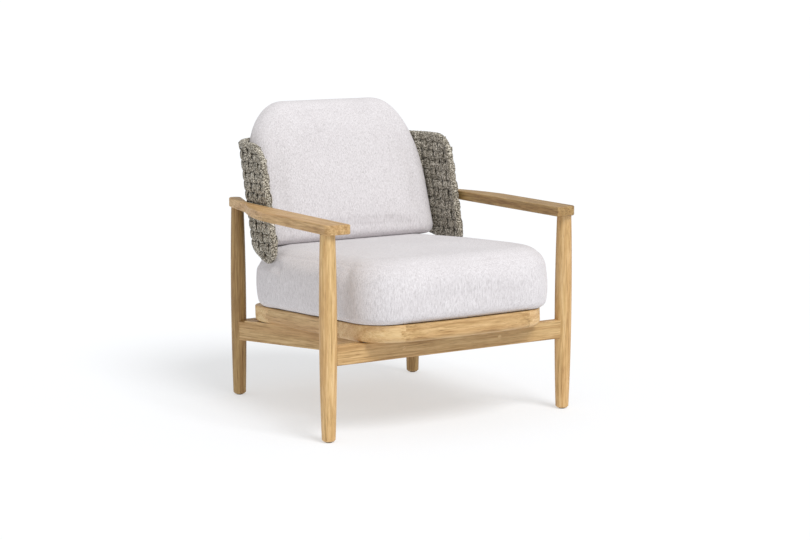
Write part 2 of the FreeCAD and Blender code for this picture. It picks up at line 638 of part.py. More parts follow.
for number in range(1, V["slat_count"] + 1):
    start = S["slat_first"] + S["slat_pitch"] * (number - 1) - S["slat_width"] / 2
    slat = box(f"slat_{number}_board", (slat_reach - S["slat_gap"]) * 2, S["slat_width"],
               S["slat_thickness"], -slat_reach + S["slat_gap"], start, -S["slat_thickness"])
    keep(on_seat(carved(f"seat_slat_{number}", slat, [slat_screw_holes])), f"seat_slat_{number}")


def slat_screw(spot):
    """A countersunk wood screw, driven down through a slat."""
    head = Part.makeCone(V["screw_head_radius"], V["screw_radius"], V["screw_radius"], spot, -UP)
    return head.fuse(solid_rod(V["screw_radius"], V["screw_length"], spot, -UP)).removeSplitter()


on_seat(group("slat_screws", [slat_screw(spot) for spot in slat_screw_spots]))


# ---------------------------------------------------------------- woven shell and its metal frame

LEAN = Placement(Vector(0, V["shell_front_y"], V["shell_low"]), Rotation(Vector(-1, 0, 0), V["shell_lean"]))


def leaning(obj):
    """Sets a piece that is drawn upright into the leaning frame of the back."""
    obj.Placement = LEAN
    obj.setExpression("Placement.Base.y", "Dims.shell_front_y")
    obj.setExpression("Placement.Base.z", "Dims.shell_low")
    obj.setExpression("Placement.Rotation.Angle", "Dims.shell_lean")
    return obj


def in_lean(y, z):
    """A side-view point of the chair, given in the leaning frame."""
    run, rise = as_size(y) - S["shell_front_y"], as_size(z) - S["shell_low"]
    return (run * cosine(S["shell_lean"]) - rise * sine(S["shell_lean"]),
            run * sine(S["shell_lean"]) + rise * cosine(S["shell_lean"]))


far_back, far_front, far_up, far_down = 500, 40, 1000, 200
inner_half = S["shell_half"] - S["shell_wall"]
inner_depth = S["shell_depth"] - S["shell_wall"]
shell = new_body("shell_panel")
pad(shell, new_sketch(shell, "shell_plan", "XY_Plane",
                      [(-S["shell_half"], 0), (-inner_half, 0), (-inner_half, inner_depth),
                       (inner_half, inner_depth), (inner_half, 0), (S["shell_half"], 0),
                       (S["shell_half"], S["shell_depth"]), (-S["shell_half"], S["shell_depth"])]),
    S["shell_top"] - S["shell_low"] + S["shell_depth"] / 2)
rounded(shell, "shell_outer_corners", S["shell_radius"],
        lambda edge: upright(edge) and edge.Vertexes[0].Y > V["shell_depth"] - 1)
rounded(shell, "shell_inner_corners", S["shell_radius"] - S["shell_wall"],
        lambda edge: upright(edge) and abs(edge.Vertexes[0].Y - inner_depth.value) < 1
        and abs(abs(edge.Vertexes[0].X) - inner_half.value) < 1)
pocket(shell, new_sketch(shell, "shell_below", "YZ_Plane",
                         [in_lean(far_front, S["shell_low"]), in_lean(S["shell_lobe_end"], S["shell_low"]),
                          in_lean(S["shell_rise_end"], S["shell_back_low"]),
                          in_lean(far_back, S["shell_back_low"]), in_lean(far_back, far_down),
                          in_lean(far_front, far_down)]), S["shell_half"] * 3, midplane=True)
pocket(shell, new_sketch(shell, "shell_above", "YZ_Plane",
                         [in_lean(far_front, S["shell_top"]), in_lean(far_back, S["shell_top"]),
                          in_lean(far_back, far_up), in_lean(far_front, far_up)]), S["shell_half"] * 3,
       midplane=True)


def wing_corner(high):
    """The edges across the wall at the wings' front corners."""
    def test(edge):
        ends = [vertex.Point for vertex in edge.Vertexes]
        return (len(ends) == 2 and all(abs(end.y) < 0.01 for end in ends)
                and abs(ends[0].x - ends[1].x) > 1 and (ends[0].z > V["shell_wall"] * 5) == high)
    return test


rounded(shell, "wing_top_corners", S["shell_top_corner"], wing_corner(True))
rounded(shell, "wing_low_corners", S["shell_low_corner"], wing_corner(False))
leaning(shell)


def frame_bars(grow):
    """The welded tube frame: two hoops round the back, ribs up the wings and back, and two posts."""
    radius = V["tube_radius"] + grow
    side_x = V["shell_half"] - V["shell_wall"] / 2
    back_y = V["shell_depth"] - V["shell_wall"] / 2
    turn = V["shell_radius"] - V["shell_wall"] / 2
    bars = []
    for height in (V["tube_low"], V["tube_high"]):
        bars.append(solid_rod(radius, 2 * (side_x - turn), Vector(turn - side_x, back_y, height), RIGHT))
        for side in (-1, 1):
            wing = Vector(side * side_x, V["rib_inset"] - grow, height)
            bars.append(solid_rod(radius, back_y - turn - wing.y, wing, BACK))
            section = Part.Circle(Vector(wing.x, back_y - turn, height), BACK, radius).toShape()
            bend = Part.Face(Part.Wire([section]))
            bars.append(bend.revolve(Vector(side * (side_x - turn), back_y - turn, height), UP, side * 90))
    for side in (-1, 1):
        bars.append(solid_rod(V["rib_radius"] + grow, V["rib_high"] - V["rib_low"] + 2 * grow,
                              Vector(side * side_x, V["rib_inset"], V["rib_low"] - grow), UP))
        bars.append(solid_rod(V["rib_radius"] + grow, V["rib_high"] - V["tube_low"],
                              Vector(side * V["post_x"], back_y, V["tube_low"]), UP))
    lean = LEAN.toMatrix()
    bars = [bar.transformed(lean, True) for bar in bars]
    start = LEAN.multVec(Vector(0, back_y, V["tube_low"]))
    post_top = start.z + (V["post_y"] - start.y) / math.tan(math.radians(V["shell_lean"]))
    for side in (-1, 1):
        bars.append(solid_rod(V["post_radius"] + grow, post_top - V["post_bottom"] + grow,
                              Vector(side * V["post_x"], V["post_y"], V["post_bottom"]), UP))
    return bars[0].fuse(bars[1:]).removeSplitter()


cavity = doc.addObject("Part::Feature", "frame_room")
cavity.Shape = frame_bars(V["tube_gap"])
keep(carved("back_shell", shell, [cavity]), "back_shell")
bars_whole = doc.addObject("Part::Feature", "frame_bars")
bars_whole.Shape = frame_bars(0)
bolt_room_shapes = doc.addObject("Part::Feature", "post_bolt_holes")
bolt_room_shapes.Shape = Part.makeCompound(post_hole_shapes)
keep(carved("shell_frame", bars_whole, [bolt_room_shapes]), "shell_frame")


def post_bolt(side, z):
    """A threaded bolt from behind the post into the ring's rear member."""
    rear = Vector(side * V["post_x"], V["post_y"] + V["post_radius"], z)
    return solid_rod(V["bolt_radius"], V["post_bolt_length"], rear, -BACK)


group("post_bolts", [post_bolt(side, z) for side in (-1, 1)
                     for z in (V["post_bolt_low"], V["post_bolt_high"])])


# ---------------------------------------------------------------- cushions

def seat_pad(name, inset):
    """The seat cushion's form, drawn in the seat plane and made smaller all round by the inset."""
    inset = as_size(inset)
    half = S["seat_pad_half"] - inset
    front, rear = S["seat_pad_front"] + inset, S["seat_pad_length"] + S["seat_pad_front"] - inset
    body = new_body(name)
    outline = [(-half, S["ring_bow"] + front, (0, front)), (half, S["ring_bow"] + front),
               (half, rear), (-half, rear)]
    sketch = new_sketch(body, name + "_plan", "XY_Plane", outline)
    thickness = S["seat_pad_thickness"] - inset * 2
    pad(body, sketch, thickness)
    middle = V["ring_length"] / 2
    for suffix, radius, at_front in (("front", S["seat_pad_front_radius"], True),
                                     ("rear", S["seat_pad_rear_radius"], False)):
        rounded(body, f"{name}_{suffix}", radius - inset,
                lambda edge, at_front=at_front: upright(edge)
                and (edge.Vertexes[0].Y < middle) == at_front)
    rounded(body, name + "_top_edge", S["seat_pad_edge"] - inset, level(thickness.value))
    lift = S["cushion_gap"] + inset
    body.Placement = SEAT_PLANE.multiply(Placement(Vector(0, 0, lift.value), Rotation()))
    body.setExpression("Placement.Base.y", (S["ring_front"] + lift * sine(S["seat_tilt"])).text)
    body.setExpression("Placement.Base.z", (S["ring_top"] + lift * cosine(S["seat_tilt"])).text)
    return body


def back_pad(name, inset):
    """The back cushion's arched form, drawn in the leaning frame."""
    inset = as_size(inset)
    half = S["back_pad_half"] - inset
    rear = inner_depth - S["back_pad_gap"] - inset
    front = inner_depth - S["back_pad_gap"] - S["back_pad_thickness"] + inset
    middle = inner_depth - S["back_pad_gap"] - S["back_pad_thickness"] / 2
    top = (S["back_pad_top"] - S["shell_low"] + middle * sine(S["shell_lean"])) / cosine(S["shell_lean"])
    top = top - inset
    body = new_body(name)
    pad(body, new_sketch(body, name + "_plan", "XY_Plane",
                         [(-half, front), (half, front), (half, rear), (-half, rear)]), top)
    rounded(body, name + "_arch", S["back_pad_corner"] - inset,
            lambda edge: level(top.value)(edge) and abs(abs(edge.Vertexes[0].X) - half.value) < 0.01
            and abs(edge.Vertexes[0].X - edge.Vertexes[1].X) < 0.01)
    for suffix, radius, spot in (("back", S["back_pad_back_edge"], rear),
                                 ("face", S["back_pad_edge"], front)):
        rounded(body, f"{name}_{suffix}", radius - inset,
                lambda edge, spot=spot: (max(point.z for point in edge.discretize(5)) > 1
                                         and all(abs(point.y - spot.value) < 0.01
                                                 for point in edge.discretize(5))))
    seat_top = (S["ring_top"] + (S["cushion_gap"] + S["seat_pad_thickness"]) / cosine(S["seat_tilt"])
                + S["back_pad_gap"] + inset)
    near, far = as_size(0), as_size(far_back)
    floor_line = [seat_top - (spot - S["ring_front"]) * rail_rise for spot in (near, far)]
    pocket(body, new_sketch(body, name + "_floor", "YZ_Plane",
                            [in_lean(near, floor_line[0]), in_lean(far, floor_line[1]),
                             in_lean(far, far_down), in_lean(near, far_down)]), S["shell_half"] * 3,
           midplane=True)
    return leaning(body)


def cushion(label, form, zipper_frame, zipper_y, zipper_z):
    """A hollow cover with a zip at the back, and the foam core inside it."""
    cut_out = box(label + "_zip_slot", S["zipper_length"], S["zipper_depth"] * 2, S["zipper_width"],
                  -S["zipper_length"] / 2, zipper_y - S["zipper_depth"], zipper_z)
    slot = zipper_frame(joined_copy(label + "_zip_room", cut_out))
    keep(carved(label + "_cover", form(label + "_form", 0), [form(label + "_hollow", S["cover_thickness"]),
                                                             slot]), label + "_cover")
    keep(form(label + "_core", S["cover_thickness"] + S["foam_gap"]), label + "_foam")
    play = S["wood_gap"]
    tape = box(label + "_zip_tape", S["zipper_length"] - play * 2, S["zipper_depth"] - play * 2,
               S["zipper_width"] - play * 2, -S["zipper_length"] / 2 + play,
               zipper_y - S["zipper_depth"] + play, zipper_z + play)
    keep(zipper_frame(joined_copy(label + "_zip", tape)), label + "_zipper")


def joined_copy(name, item):
    """A one-piece compound, so that the piece can be set into another frame."""
    whole = doc.addObject("Part::Compound", name)
    whole.Links = [item]
    return whole


cushion("seat_cushion", seat_pad, on_seat, S["seat_pad_length"] + S["seat_pad_front"],
        S["seat_pad_thickness"] / 2)
cushion("back_cushion", back_pad, leaning, inner_depth - S["back_pad_gap"], S["shell_radius"] * 2)


# ---------------------------------------------------------------- check and write

doc.recompute()
failed = [obj.Name for obj in doc.Objects if "Invalid" in obj.State or "Error" in obj.State]
failed += [node.Label for node in nodes if node.Shape.isNull() or not node.Shape.isValid()]
if failed:
    raise RuntimeError(f"not built: {failed}")
os.makedirs("parts", exist_ok=True)
for node in nodes:
    node.Shape.exportStep(f"parts/{node.Label}.step")
print(len(nodes), "parts written")
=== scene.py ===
"""A lounge armchair: oiled teak frame, shell of woven flat cord, two loose cushions.

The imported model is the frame. The wood, metal and nylon parts keep their shapes and get finishes, and the
cord shell and the cushions are made here in the places that the frame holds for them.
"""

import logging
import math
import random
from abc import ABC, abstractmethod
from dataclasses import dataclass, field
from enum import Enum
from typing import Callable, ClassVar

import bpy
import numpy as np
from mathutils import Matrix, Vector
from mathutils.bvhtree import BVHTree


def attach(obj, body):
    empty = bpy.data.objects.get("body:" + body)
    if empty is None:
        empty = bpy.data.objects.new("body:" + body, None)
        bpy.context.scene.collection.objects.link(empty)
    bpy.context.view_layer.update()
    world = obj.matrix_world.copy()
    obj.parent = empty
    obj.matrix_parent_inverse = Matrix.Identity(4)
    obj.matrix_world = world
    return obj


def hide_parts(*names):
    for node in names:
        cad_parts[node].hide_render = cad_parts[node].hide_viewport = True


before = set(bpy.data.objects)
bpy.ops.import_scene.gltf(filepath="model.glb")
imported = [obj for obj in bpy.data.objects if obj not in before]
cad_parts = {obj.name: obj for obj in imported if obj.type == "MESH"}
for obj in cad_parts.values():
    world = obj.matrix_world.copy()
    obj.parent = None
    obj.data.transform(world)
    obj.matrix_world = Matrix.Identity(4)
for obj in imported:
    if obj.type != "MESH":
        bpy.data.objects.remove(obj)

LOG = logging.getLogger("armchair")
MM = 0.001
Points = np.ndarray


# ---------------------------------------------------------------- colours and nodes

def linear(code: str) -> tuple[float, float, float, float]:
    """Turns an sRGB hex colour into linear light.

    Args:
        code: six hex digits, with or without a leading hash.

    Returns:
        Red, green, blue and an alpha of one.
    """
    values = [int(code.lstrip("#")[at:at + 2], 16) / 255 for at in (0, 2, 4)]
    light = [v / 12.92 if v <= 0.04045 else ((v + 0.055) / 1.055) ** 2.4 for v in values]
    return (*light, 1.0)


def set_inputs(tree: bpy.types.NodeTree, node: bpy.types.Node, values: dict[str | int, object]) -> None:
    """Sets or links a node's inputs.

    Args:
        tree: the node tree.
        node: the node.
        values: a value, or a socket to link from, for each input.
    """
    for name, value in values.items():
        if isinstance(value, bpy.types.NodeSocket):
            tree.links.new(value, node.inputs[name])
        else:
            node.inputs[name].default_value = value


def add_node(tree: bpy.types.NodeTree, kind: str, settings: dict[str, object] | None = None,
             inputs: dict[str | int, object] | None = None) -> bpy.types.Node:
    """Adds a node with its settings and links.

    Args:
        tree: the node tree that takes the node.
        kind: the node's type name.
        settings: attributes of the node.
        inputs: a value, or a socket to link from, for each input.

    Returns:
        The new node.
    """
    node = tree.nodes.new(kind)
    for name, value in (settings or {}).items():
        setattr(node, name, value)
    set_inputs(tree, node, inputs or {})
    return node


def place_of(tree: bpy.types.NodeTree) -> bpy.types.NodeSocket:
    """Returns each point's place on its piece."""
    return add_node(tree, "ShaderNodeTexCoord").outputs["Object"]


def noise(tree: bpy.types.NodeTree, place: bpy.types.NodeSocket, size: float, detail: float,
          roughness: float = 0.5, distortion: float = 0.0) -> bpy.types.NodeSocket:
    """Makes a cloudy grey value.

    Args:
        tree: the node tree.
        place: where each point reads it.
        size: the width of a cloud, in metres.
        detail: how many finer layers lie over it.
        roughness: how strong the finer layers are.
        distortion: how far the clouds are drawn out of shape.

    Returns:
        The grey value.
    """
    return add_node(tree, "ShaderNodeTexNoise", inputs={
        "Vector": place, "Scale": 1 / size, "Detail": detail, "Roughness": roughness,
        "Distortion": distortion}).outputs["Fac"]


def worked_out(tree: bpy.types.NodeTree, operation: str, *values: object) -> bpy.types.NodeSocket:
    """Works out one step of arithmetic between numbers and sockets."""
    return add_node(tree, "ShaderNodeMath", {"operation": operation}, dict(enumerate(values))).outputs[0]


def bumped(tree: bpy.types.NodeTree, height: bpy.types.NodeSocket, strength: float,
           distance: float) -> bpy.types.NodeSocket:
    """Returns the normal of a face raised by the height."""
    return add_node(tree, "ShaderNodeBump", inputs={
        "Height": height, "Strength": strength, "Distance": distance}).outputs["Normal"]


def ramp(tree: bpy.types.NodeTree, factor: bpy.types.NodeSocket,
         stops: list[tuple[float, str]]) -> bpy.types.NodeSocket:
    """Colours a grey value through a row of hex colours.

    Args:
        tree: the node tree.
        factor: the grey value.
        stops: place and hex colour of each stop, in order.

    Returns:
        The colour socket.
    """
    node = add_node(tree, "ShaderNodeValToRGB", inputs={"Fac": factor})
    elements = node.color_ramp.elements
    while len(elements) < len(stops):
        elements.new(0.5)
    for element, (place, code) in zip(elements, stops):
        element.position = place
        element.color = linear(code)
    return node.outputs["Color"]


def mixed(tree: bpy.types.NodeTree, blend: str, factor: object, first: object,
          second: object) -> bpy.types.NodeSocket:
    """Mixes two colours.

    Args:
        tree: the node tree.
        blend: the blend type.
        factor: how much of the second colour, a number or a socket.
        first: the colour underneath.
        second: the colour laid over it.

    Returns:
        The mixed colour.
    """
    node = add_node(tree, "ShaderNodeMix", {"data_type": "RGBA", "blend_type": blend},
                    {0: factor, 6: first, 7: second})
    return node.outputs[2]


def spread(tree: bpy.types.NodeTree, value: bpy.types.NodeSocket, low: float, high: float,
           to_low: float = 0.0, to_high: float = 1.0) -> bpy.types.NodeSocket:
    """Stretches a value's range and clamps it.

    Args:
        tree: the node tree.
        value: the value.
        low: what becomes to_low.
        high: what becomes to_high.
        to_low: the new low end.
        to_high: the new high end.

    Returns:
        The stretched value.
    """
    return add_node(tree, "ShaderNodeMapRange", inputs={
        "Value": value, "From Min": low, "From Max": high, "To Min": to_low, "To Max": to_high,
    }).outputs["Result"]


class Finish:
    """A finish that makes its material once."""

    def material(self) -> bpy.types.Material:
        """Returns the Blender material, made the first time that it is asked for."""
        name = self.title()
        found = bpy.data.materials.get(name)
        if found:
            return found
        made = bpy.data.materials.new(name)
        made.use_nodes = True
        tree = made.node_tree
        shader = tree.nodes["Principled BSDF"]
        self.shade(tree, shader)
        return made

    def title(self) -> str:
        """Returns the material's name."""
        raise NotImplementedError

    def shade(self, tree: bpy.types.NodeTree, shader: bpy.types.Node) -> None:
        """Builds the nodes that feed the shader."""
        raise NotImplementedError


# ---------------------------------------------------------------- finishes

class TeakTone(Enum):
    """The teak's tone on each piece: the wood's own tones, a darker one that is partly painted shade, and a
    darkest one that is painted shade.
    """

    TURNED = "turned"
    # darker: partly the teak's own tone, partly painted shade for the shaded arm sides and rails
    PLAIN = "plain"
    # darkest: painted shade, the same teak darkened where the rear legs and the right armrest stand in shade
    DEEP_SHADE = "deep_shade"
    PALE = "pale"
    INSIDE = "inside"


@dataclass(frozen=True)
class OiledTeak(Finish):
    """Oiled teak: golden heartwood with long brown streaks and short open pores.

    The sanded, oiled face gives the eye a satin gloss, streaks along the grain, darker pore dashes,
    and dots where the grain is cut across its end.
    """

    # the piece's tone; on the darker pieces it carries painted shade
    cut: TeakTone
    grain: tuple[float, float, float]
    shift: float = 0.0

    # drawn coarser than the real 0.3 mm pores and 1 mm growth lines, so that they show at chair size
    streak_width: float = 4.5 * MM
    figure_width: float = 26 * MM
    pore_width: float = 1.3 * MM
    stretch: float = 26.0

    def title(self) -> str:
        """Returns the material's name."""
        way = "_".join(f"{value:.2f}" for value in self.grain)
        return f"oiled_teak_{self.cut.value}_{way}_{self.shift:.2f}"

    def tones(self) -> list[tuple[float, str]]:
        """Returns the streak colours, from dark latewood to pale earlywood."""
        return {
            TeakTone.TURNED: [(0.24, "#967646"), (0.42, "#c8a56c"), (0.56, "#dcbc86"), (0.8, "#eed3a2")],
            # darker stops, partly painted shade
            TeakTone.PLAIN: [(0.24, "#866a42"), (0.4, "#b5935f"), (0.56, "#ceae7b"), (0.8, "#e4c897")],
            # darkest stops: painted shade
            TeakTone.DEEP_SHADE: [(0.26, "#6b5230"), (0.42, "#997a4a"), (0.58, "#b29460"), (0.82, "#c8ab79")],
            TeakTone.PALE: [(0.2, "#ab8c5a"), (0.4, "#d1b17c"), (0.6, "#dfc392"), (0.85, "#edd7ae")],
            TeakTone.INSIDE: [(0.2, "#a38454"), (0.4, "#c6a874"), (0.6, "#d8bb88"), (0.85, "#e5cca0")],
        }[self.cut]

    def shade(self, tree: bpy.types.NodeTree, shader: bpy.types.Node) -> None:
        """Lays streaks, a broad figure and pores along the grain."""
        turn = Vector((0, 0, 1)).rotation_difference(Vector(self.grain).normalized()).to_euler()
        place = place_of(tree)
        along, slow = (add_node(tree, "ShaderNodeMapping", {"vector_type": "TEXTURE"}, {
            "Vector": place, "Location": (self.shift, self.shift * sideways, self.shift * up),
            "Rotation": tuple(turn), "Scale": (1, 1, stretch)}).outputs["Vector"]
            for sideways, up, stretch in ((0.7, 1.3, self.stretch), (0.3, 1.0, self.stretch * 0.4)))
        streaks = noise(tree, along, self.streak_width, 5.0, 0.62, 0.25)
        figure = add_node(tree, "ShaderNodeTexWave", {"wave_type": "RINGS", "rings_direction": "Z"}, {
            "Vector": slow, "Scale": 0.32 / self.figure_width, "Distortion": 7.0, "Detail": 3.0,
            "Detail Scale": 1.6, "Detail Roughness": 0.6}).outputs["Fac"]
        patches = noise(tree, slow, self.figure_width / 0.3, 2.0)
        pores = noise(tree, along, self.pore_width, 2.0)
        tone = ramp(tree, streaks, self.tones())
        figured = mixed(tree, "MULTIPLY", spread(tree, figure, 0.35, 1.0, 0.0, 0.30), tone,
                        linear("#d2b288"))
        patched = mixed(tree, "OVERLAY", spread(tree, patches, 0.3, 0.75, 0.0, 0.22), figured,
                        linear("#a9825a"))
        open_pores = spread(tree, pores, 0.67, 0.56, 0.0, 1.0)
        pore_depth = spread(tree, open_pores, 0.0, 1.0, 0.4, 0.0)
        coloured = mixed(tree, "MULTIPLY", pore_depth, patched, linear("#9a7347"))
        gloss = spread(tree, streaks, 0.2, 0.8, 0.56, 0.44)
        relief = worked_out(tree, "MULTIPLY_ADD", streaks, 0.35, open_pores)
        bump = bumped(tree, relief, 0.35, 0.35 * MM)
        set_inputs(tree, shader, {"Base Color": coloured, "Roughness": gloss, "Normal": bump, "IOR": 1.5})


@dataclass(frozen=True)
class BraidedCord(Finish):
    """Flat braided outdoor cord in a flecked taupe yarn.

    Many thin yarns of pale, taupe and dark brown are plaited, which gives the eye a dry, hairy, speckled
    surface with a fine herringbone along each cord, whose grooves are darkened with painted shade.
    """

    braid_pitch: float = 7 * MM
    # drawn coarser than the real 1 mm yarns, so that the flecks show at chair size
    fleck_size: float = 4.2 * MM

    def title(self) -> str:
        """Returns the material's name."""
        return "braided_cord"

    def shade(self, tree: bpy.types.NodeTree, shader: bpy.types.Node) -> None:
        """Speckles the yarns, raises the braid from the strand's own map and paints shade into its grooves.
        """
        strand = add_node(tree, "ShaderNodeUVMap", {"uv_map": "strand"}).outputs["UV"]
        place = place_of(tree)
        across = add_node(tree, "ShaderNodeSeparateXYZ", inputs={0: strand})
        slant = worked_out(tree, "ADD", worked_out(tree, "ABSOLUTE", across.outputs["X"]),
                           across.outputs["Y"])
        plait = worked_out(tree, "SINE", worked_out(tree, "MULTIPLY", slant,
                                                    2 * math.pi / self.braid_pitch))
        flecks = noise(tree, place, self.fleck_size, 3.0, 0.7)
        clouds = noise(tree, place, self.fleck_size / 0.1, 2.0)
        hairs = noise(tree, place, self.fleck_size / 2.5, 2.0)
        colour = ramp(tree, flecks, [(0.36, "#29261f"), (0.44, "#6d6658"), (0.5, "#a69e8e"),
                                     (0.56, "#dcd4c3"), (0.64, "#fdf8ec")])
        clouded = mixed(tree, "MULTIPLY", spread(tree, clouds, 0.35, 0.65, 0.0, 0.35), colour,
                        linear("#9d9583"))
        # painted shade: the braid's grooves are darkened towards #5b5444
        groove_shade = mixed(tree, "MULTIPLY", spread(tree, plait, -0.2, -1.0, 0.0, 0.5), clouded,
                        linear("#5b5444"))
        fuzz = worked_out(tree, "ADD", worked_out(tree, "MULTIPLY_ADD", plait, 0.35, flecks), hairs)
        bump = bumped(tree, fuzz, 0.9, 1.6 * MM)
        set_inputs(tree, shader, {"Base Color": groove_shade, "Roughness": 0.92, "Normal": bump,
                                  "Sheen Weight": 0.15, "Sheen Roughness": 0.5})


@dataclass(frozen=True)
class HeatherWeave(Finish):
    """Off-white outdoor upholstery with a slubbed yarn.

    Warm white and pale grey fibres are spun together and woven with slightly uneven ribs, which gives the
    eye a matt, softly speckled face with short upright slubs.
    """

    pale: str = "#e8e5e7"
    mid: str = "#dbd7d9"
    grey: str = "#c3bfc0"

    # drawn coarser than the real 0.8 mm yarn, so that the slubs show at chair size
    yarn: float = 2.2 * MM

    def title(self) -> str:
        """Returns the material's name."""
        return "heather_weave_" + self.pale.lstrip("#")

    def shade(self, tree: bpy.types.NodeTree, shader: bpy.types.Node) -> None:
        """Speckles the yarn and raises uneven upright ribs."""
        place = place_of(tree)
        upright = add_node(tree, "ShaderNodeMapping", inputs={
            "Vector": place, "Scale": (1, 1, 0.16)}).outputs["Vector"]
        slubs = noise(tree, upright, self.yarn, 3.0, 0.6, 0.6)
        speckle = noise(tree, place, self.yarn / 1.7, 2.0, 0.6)
        soft = noise(tree, place, 1 / 9, 3.0)
        colour = ramp(tree, slubs, [(0.3, self.grey), (0.5, self.mid), (0.68, self.pale)])
        speckled = mixed(tree, "MULTIPLY", spread(tree, speckle, 0.5, 0.36, 0.0, 0.4), colour,
                         linear("#b7b3b3"))
        shaded = mixed(tree, "MULTIPLY", spread(tree, soft, 0.35, 0.7, 0.0, 0.12), speckled,
                       linear("#cecacb"))
        bump = bumped(tree, worked_out(tree, "MULTIPLY_ADD", speckle, 0.5, slubs), 0.55, 0.9 * MM)
        set_inputs(tree, shader, {"Base Color": shaded, "Roughness": 0.9, "Normal": bump,
                                  "Sheen Weight": 0.25, "Sheen Roughness": 0.45})


@dataclass(frozen=True)
class PlainFinish(Finish):
    """A fine, even finish with a grain of its own: nylon, zinc, powder coat, tape or thread."""

    name: str
    colour: str
    second: str
    roughness: float
    metallic: float = 0.0
    grit: float = 0.8 * MM
    relief: float = 0.1 * MM

    def title(self) -> str:
        """Returns the material's name."""
        return self.name

    def shade(self, tree: bpy.types.NodeTree, shader: bpy.types.Node) -> None:
        """Varies the colour, the gloss and the relief with one fine grain."""
        place = place_of(tree)
        grain = noise(tree, place, self.grit, 4.0, 0.6)
        colour = ramp(tree, grain, [(0.35, self.second), (0.62, self.colour)])
        gloss = spread(tree, grain, 0.3, 0.7, min(1.0, self.roughness + 0.08), self.roughness - 0.05)
        set_inputs(tree, shader, {"Base Color": colour, "Roughness": gloss, "Metallic": self.metallic,
                                  "Normal": bumped(tree, grain, 0.4, self.relief)})


# moulded nylon: near black, slightly waxy
NYLON = PlainFinish("moulded_nylon", "#1c1b1a", "#121110", 0.5)
# zinc-plated steel: bright grey with a soft, uneven gloss
ZINC = PlainFinish("zinc_plated_steel", "#b9bbbd", "#9d9fa2", 0.32, metallic=1.0)
# powder-coated steel tube: warm grey with a slight orange peel
POWDER = PlainFinish("powder_coated_tube", "#77705f", "#6b6454", 0.55, grit=2 * MM)
# polyester zip tape and coil: off-white, finely ribbed
ZIP_TAPE = PlainFinish("zip_tape", "#d6d1cc", "#bdb7b1", 0.8, grit=0.7 * MM)
# spun polyester sewing thread: off-white, twisted
THREAD = PlainFinish("sewing_thread", "#e6e1dc", "#c8c2bb", 0.8, grit=0.4 * MM)


# ---------------------------------------------------------------- meshes

def make_piece(name: str, points: Points, faces: list[tuple[int, ...]], finish: Finish,
               strand_map: Points | None = None) -> bpy.types.Object:
    """Makes a smooth mesh object.

    Args:
        name: the piece's name.
        points: one row of x, y, z for each point, in metres.
        faces: the point numbers round each face.
        finish: the finish that dresses it.
        strand_map: for a cord, one row of place across and along for each face corner.

    Returns:
        The linked object.
    """
    mesh = bpy.data.meshes.new(name)
    mesh.from_pydata([tuple(point) for point in points], [], faces)
    if strand_map is not None:
        layer = mesh.uv_layers.new(name="strand")
        layer.data.foreach_set("uv", np.asarray(strand_map, np.float32).ravel())
    mesh.polygons.foreach_set("use_smooth", [True] * len(mesh.polygons))
    mesh.materials.append(finish.material())
    mesh.update()
    piece = bpy.data.objects.new(name, mesh)
    bpy.context.scene.collection.objects.link(piece)
    return piece


@dataclass
class StrandSet:
    """Collects swept strands with flat oval sections into one mesh."""

    sides: int = 10
    points: list[Points] = field(default_factory=list)
    faces: list[tuple[int, ...]] = field(default_factory=list)
    places: list[tuple[float, float]] = field(default_factory=list)
    total: int = 0

    def sweep(self, path: Points, normal: Points, width: Points, thick: Points, closed: bool = False,
              square: float = 0.7) -> None:
        """Sweeps a flat oval along a path.

        Args:
            path: the middle line, one row for each station.
            normal: the direction across the thickness at each station.
            width: the full width at each station.
            thick: the full thickness at each station.
            closed: whether the last station joins the first.
            square: how far the oval leans to a rectangle; one is an ellipse.
        """
        count = len(path)
        if closed:
            tangent = np.roll(path, -1, 0) - np.roll(path, 1, 0)
        else:
            tangent = np.gradient(path, axis=0)
        tangent /= np.linalg.norm(tangent, axis=1, keepdims=True)
        side = np.cross(tangent, normal)
        side /= np.linalg.norm(side, axis=1, keepdims=True)
        up = np.cross(side, tangent)
        angles = np.linspace(0, 2 * math.pi, self.sides, endpoint=False)
        flat = np.sign(np.cos(angles)) * np.abs(np.cos(angles)) ** square
        tall = np.sin(angles)
        rings = (path[:, None, :] + side[:, None, :] * (flat[None, :, None] * width[:, None, None] / 2)
                 + up[:, None, :] * (tall[None, :, None] * thick[:, None, None] / 2))
        self.points.append(rings.reshape(-1, 3))
        steps = np.linalg.norm(np.diff(path, axis=0), axis=1)
        along = np.concatenate([[0.0], np.cumsum(steps)])
        across = np.append(flat, flat[0]) * float(np.mean(width)) / 2
        first = self.total
        for station in range(count if closed else count - 1):
            after = (station + 1) % count
            ahead = along[station + 1] if station + 1 < count else along[-1] + steps[-1]
            for k in range(self.sides):
                n = (k + 1) % self.sides
                self.faces.append((first + station * self.sides + k, first + station * self.sides + n,
                                   first + after * self.sides + n, first + after * self.sides + k))
                self.places += [(across[k], along[station]), (across[k + 1], along[station]),
                                (across[k + 1], ahead), (across[k], ahead)]
        if not closed:
            for station, order in ((0, range(self.sides - 1, -1, -1)), (count - 1, range(self.sides))):
                self.faces.append(tuple(first + station * self.sides + k for k in order))
                self.places += [(across[k], along[station]) for k in order]
        self.total += count * self.sides

    def build(self, name: str, finish: Finish) -> bpy.types.Object:
        """Makes the mesh object of every strand so far.

        Args:
            name: the piece's name.
            finish: the finish that dresses it.

        Returns:
            The linked object.
        """
        return make_piece(name, np.concatenate(self.points), self.faces, finish, np.array(self.places))


def dress(names: list[str], finish: Finish) -> None:
    """Gives CAD nodes one finish.

    Args:
        names: the nodes.
        finish: their finish.
    """
    for name in names:
        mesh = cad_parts[name].data
        mesh.materials.clear()
        mesh.materials.append(finish.material())


# ---------------------------------------------------------------- wood and metal

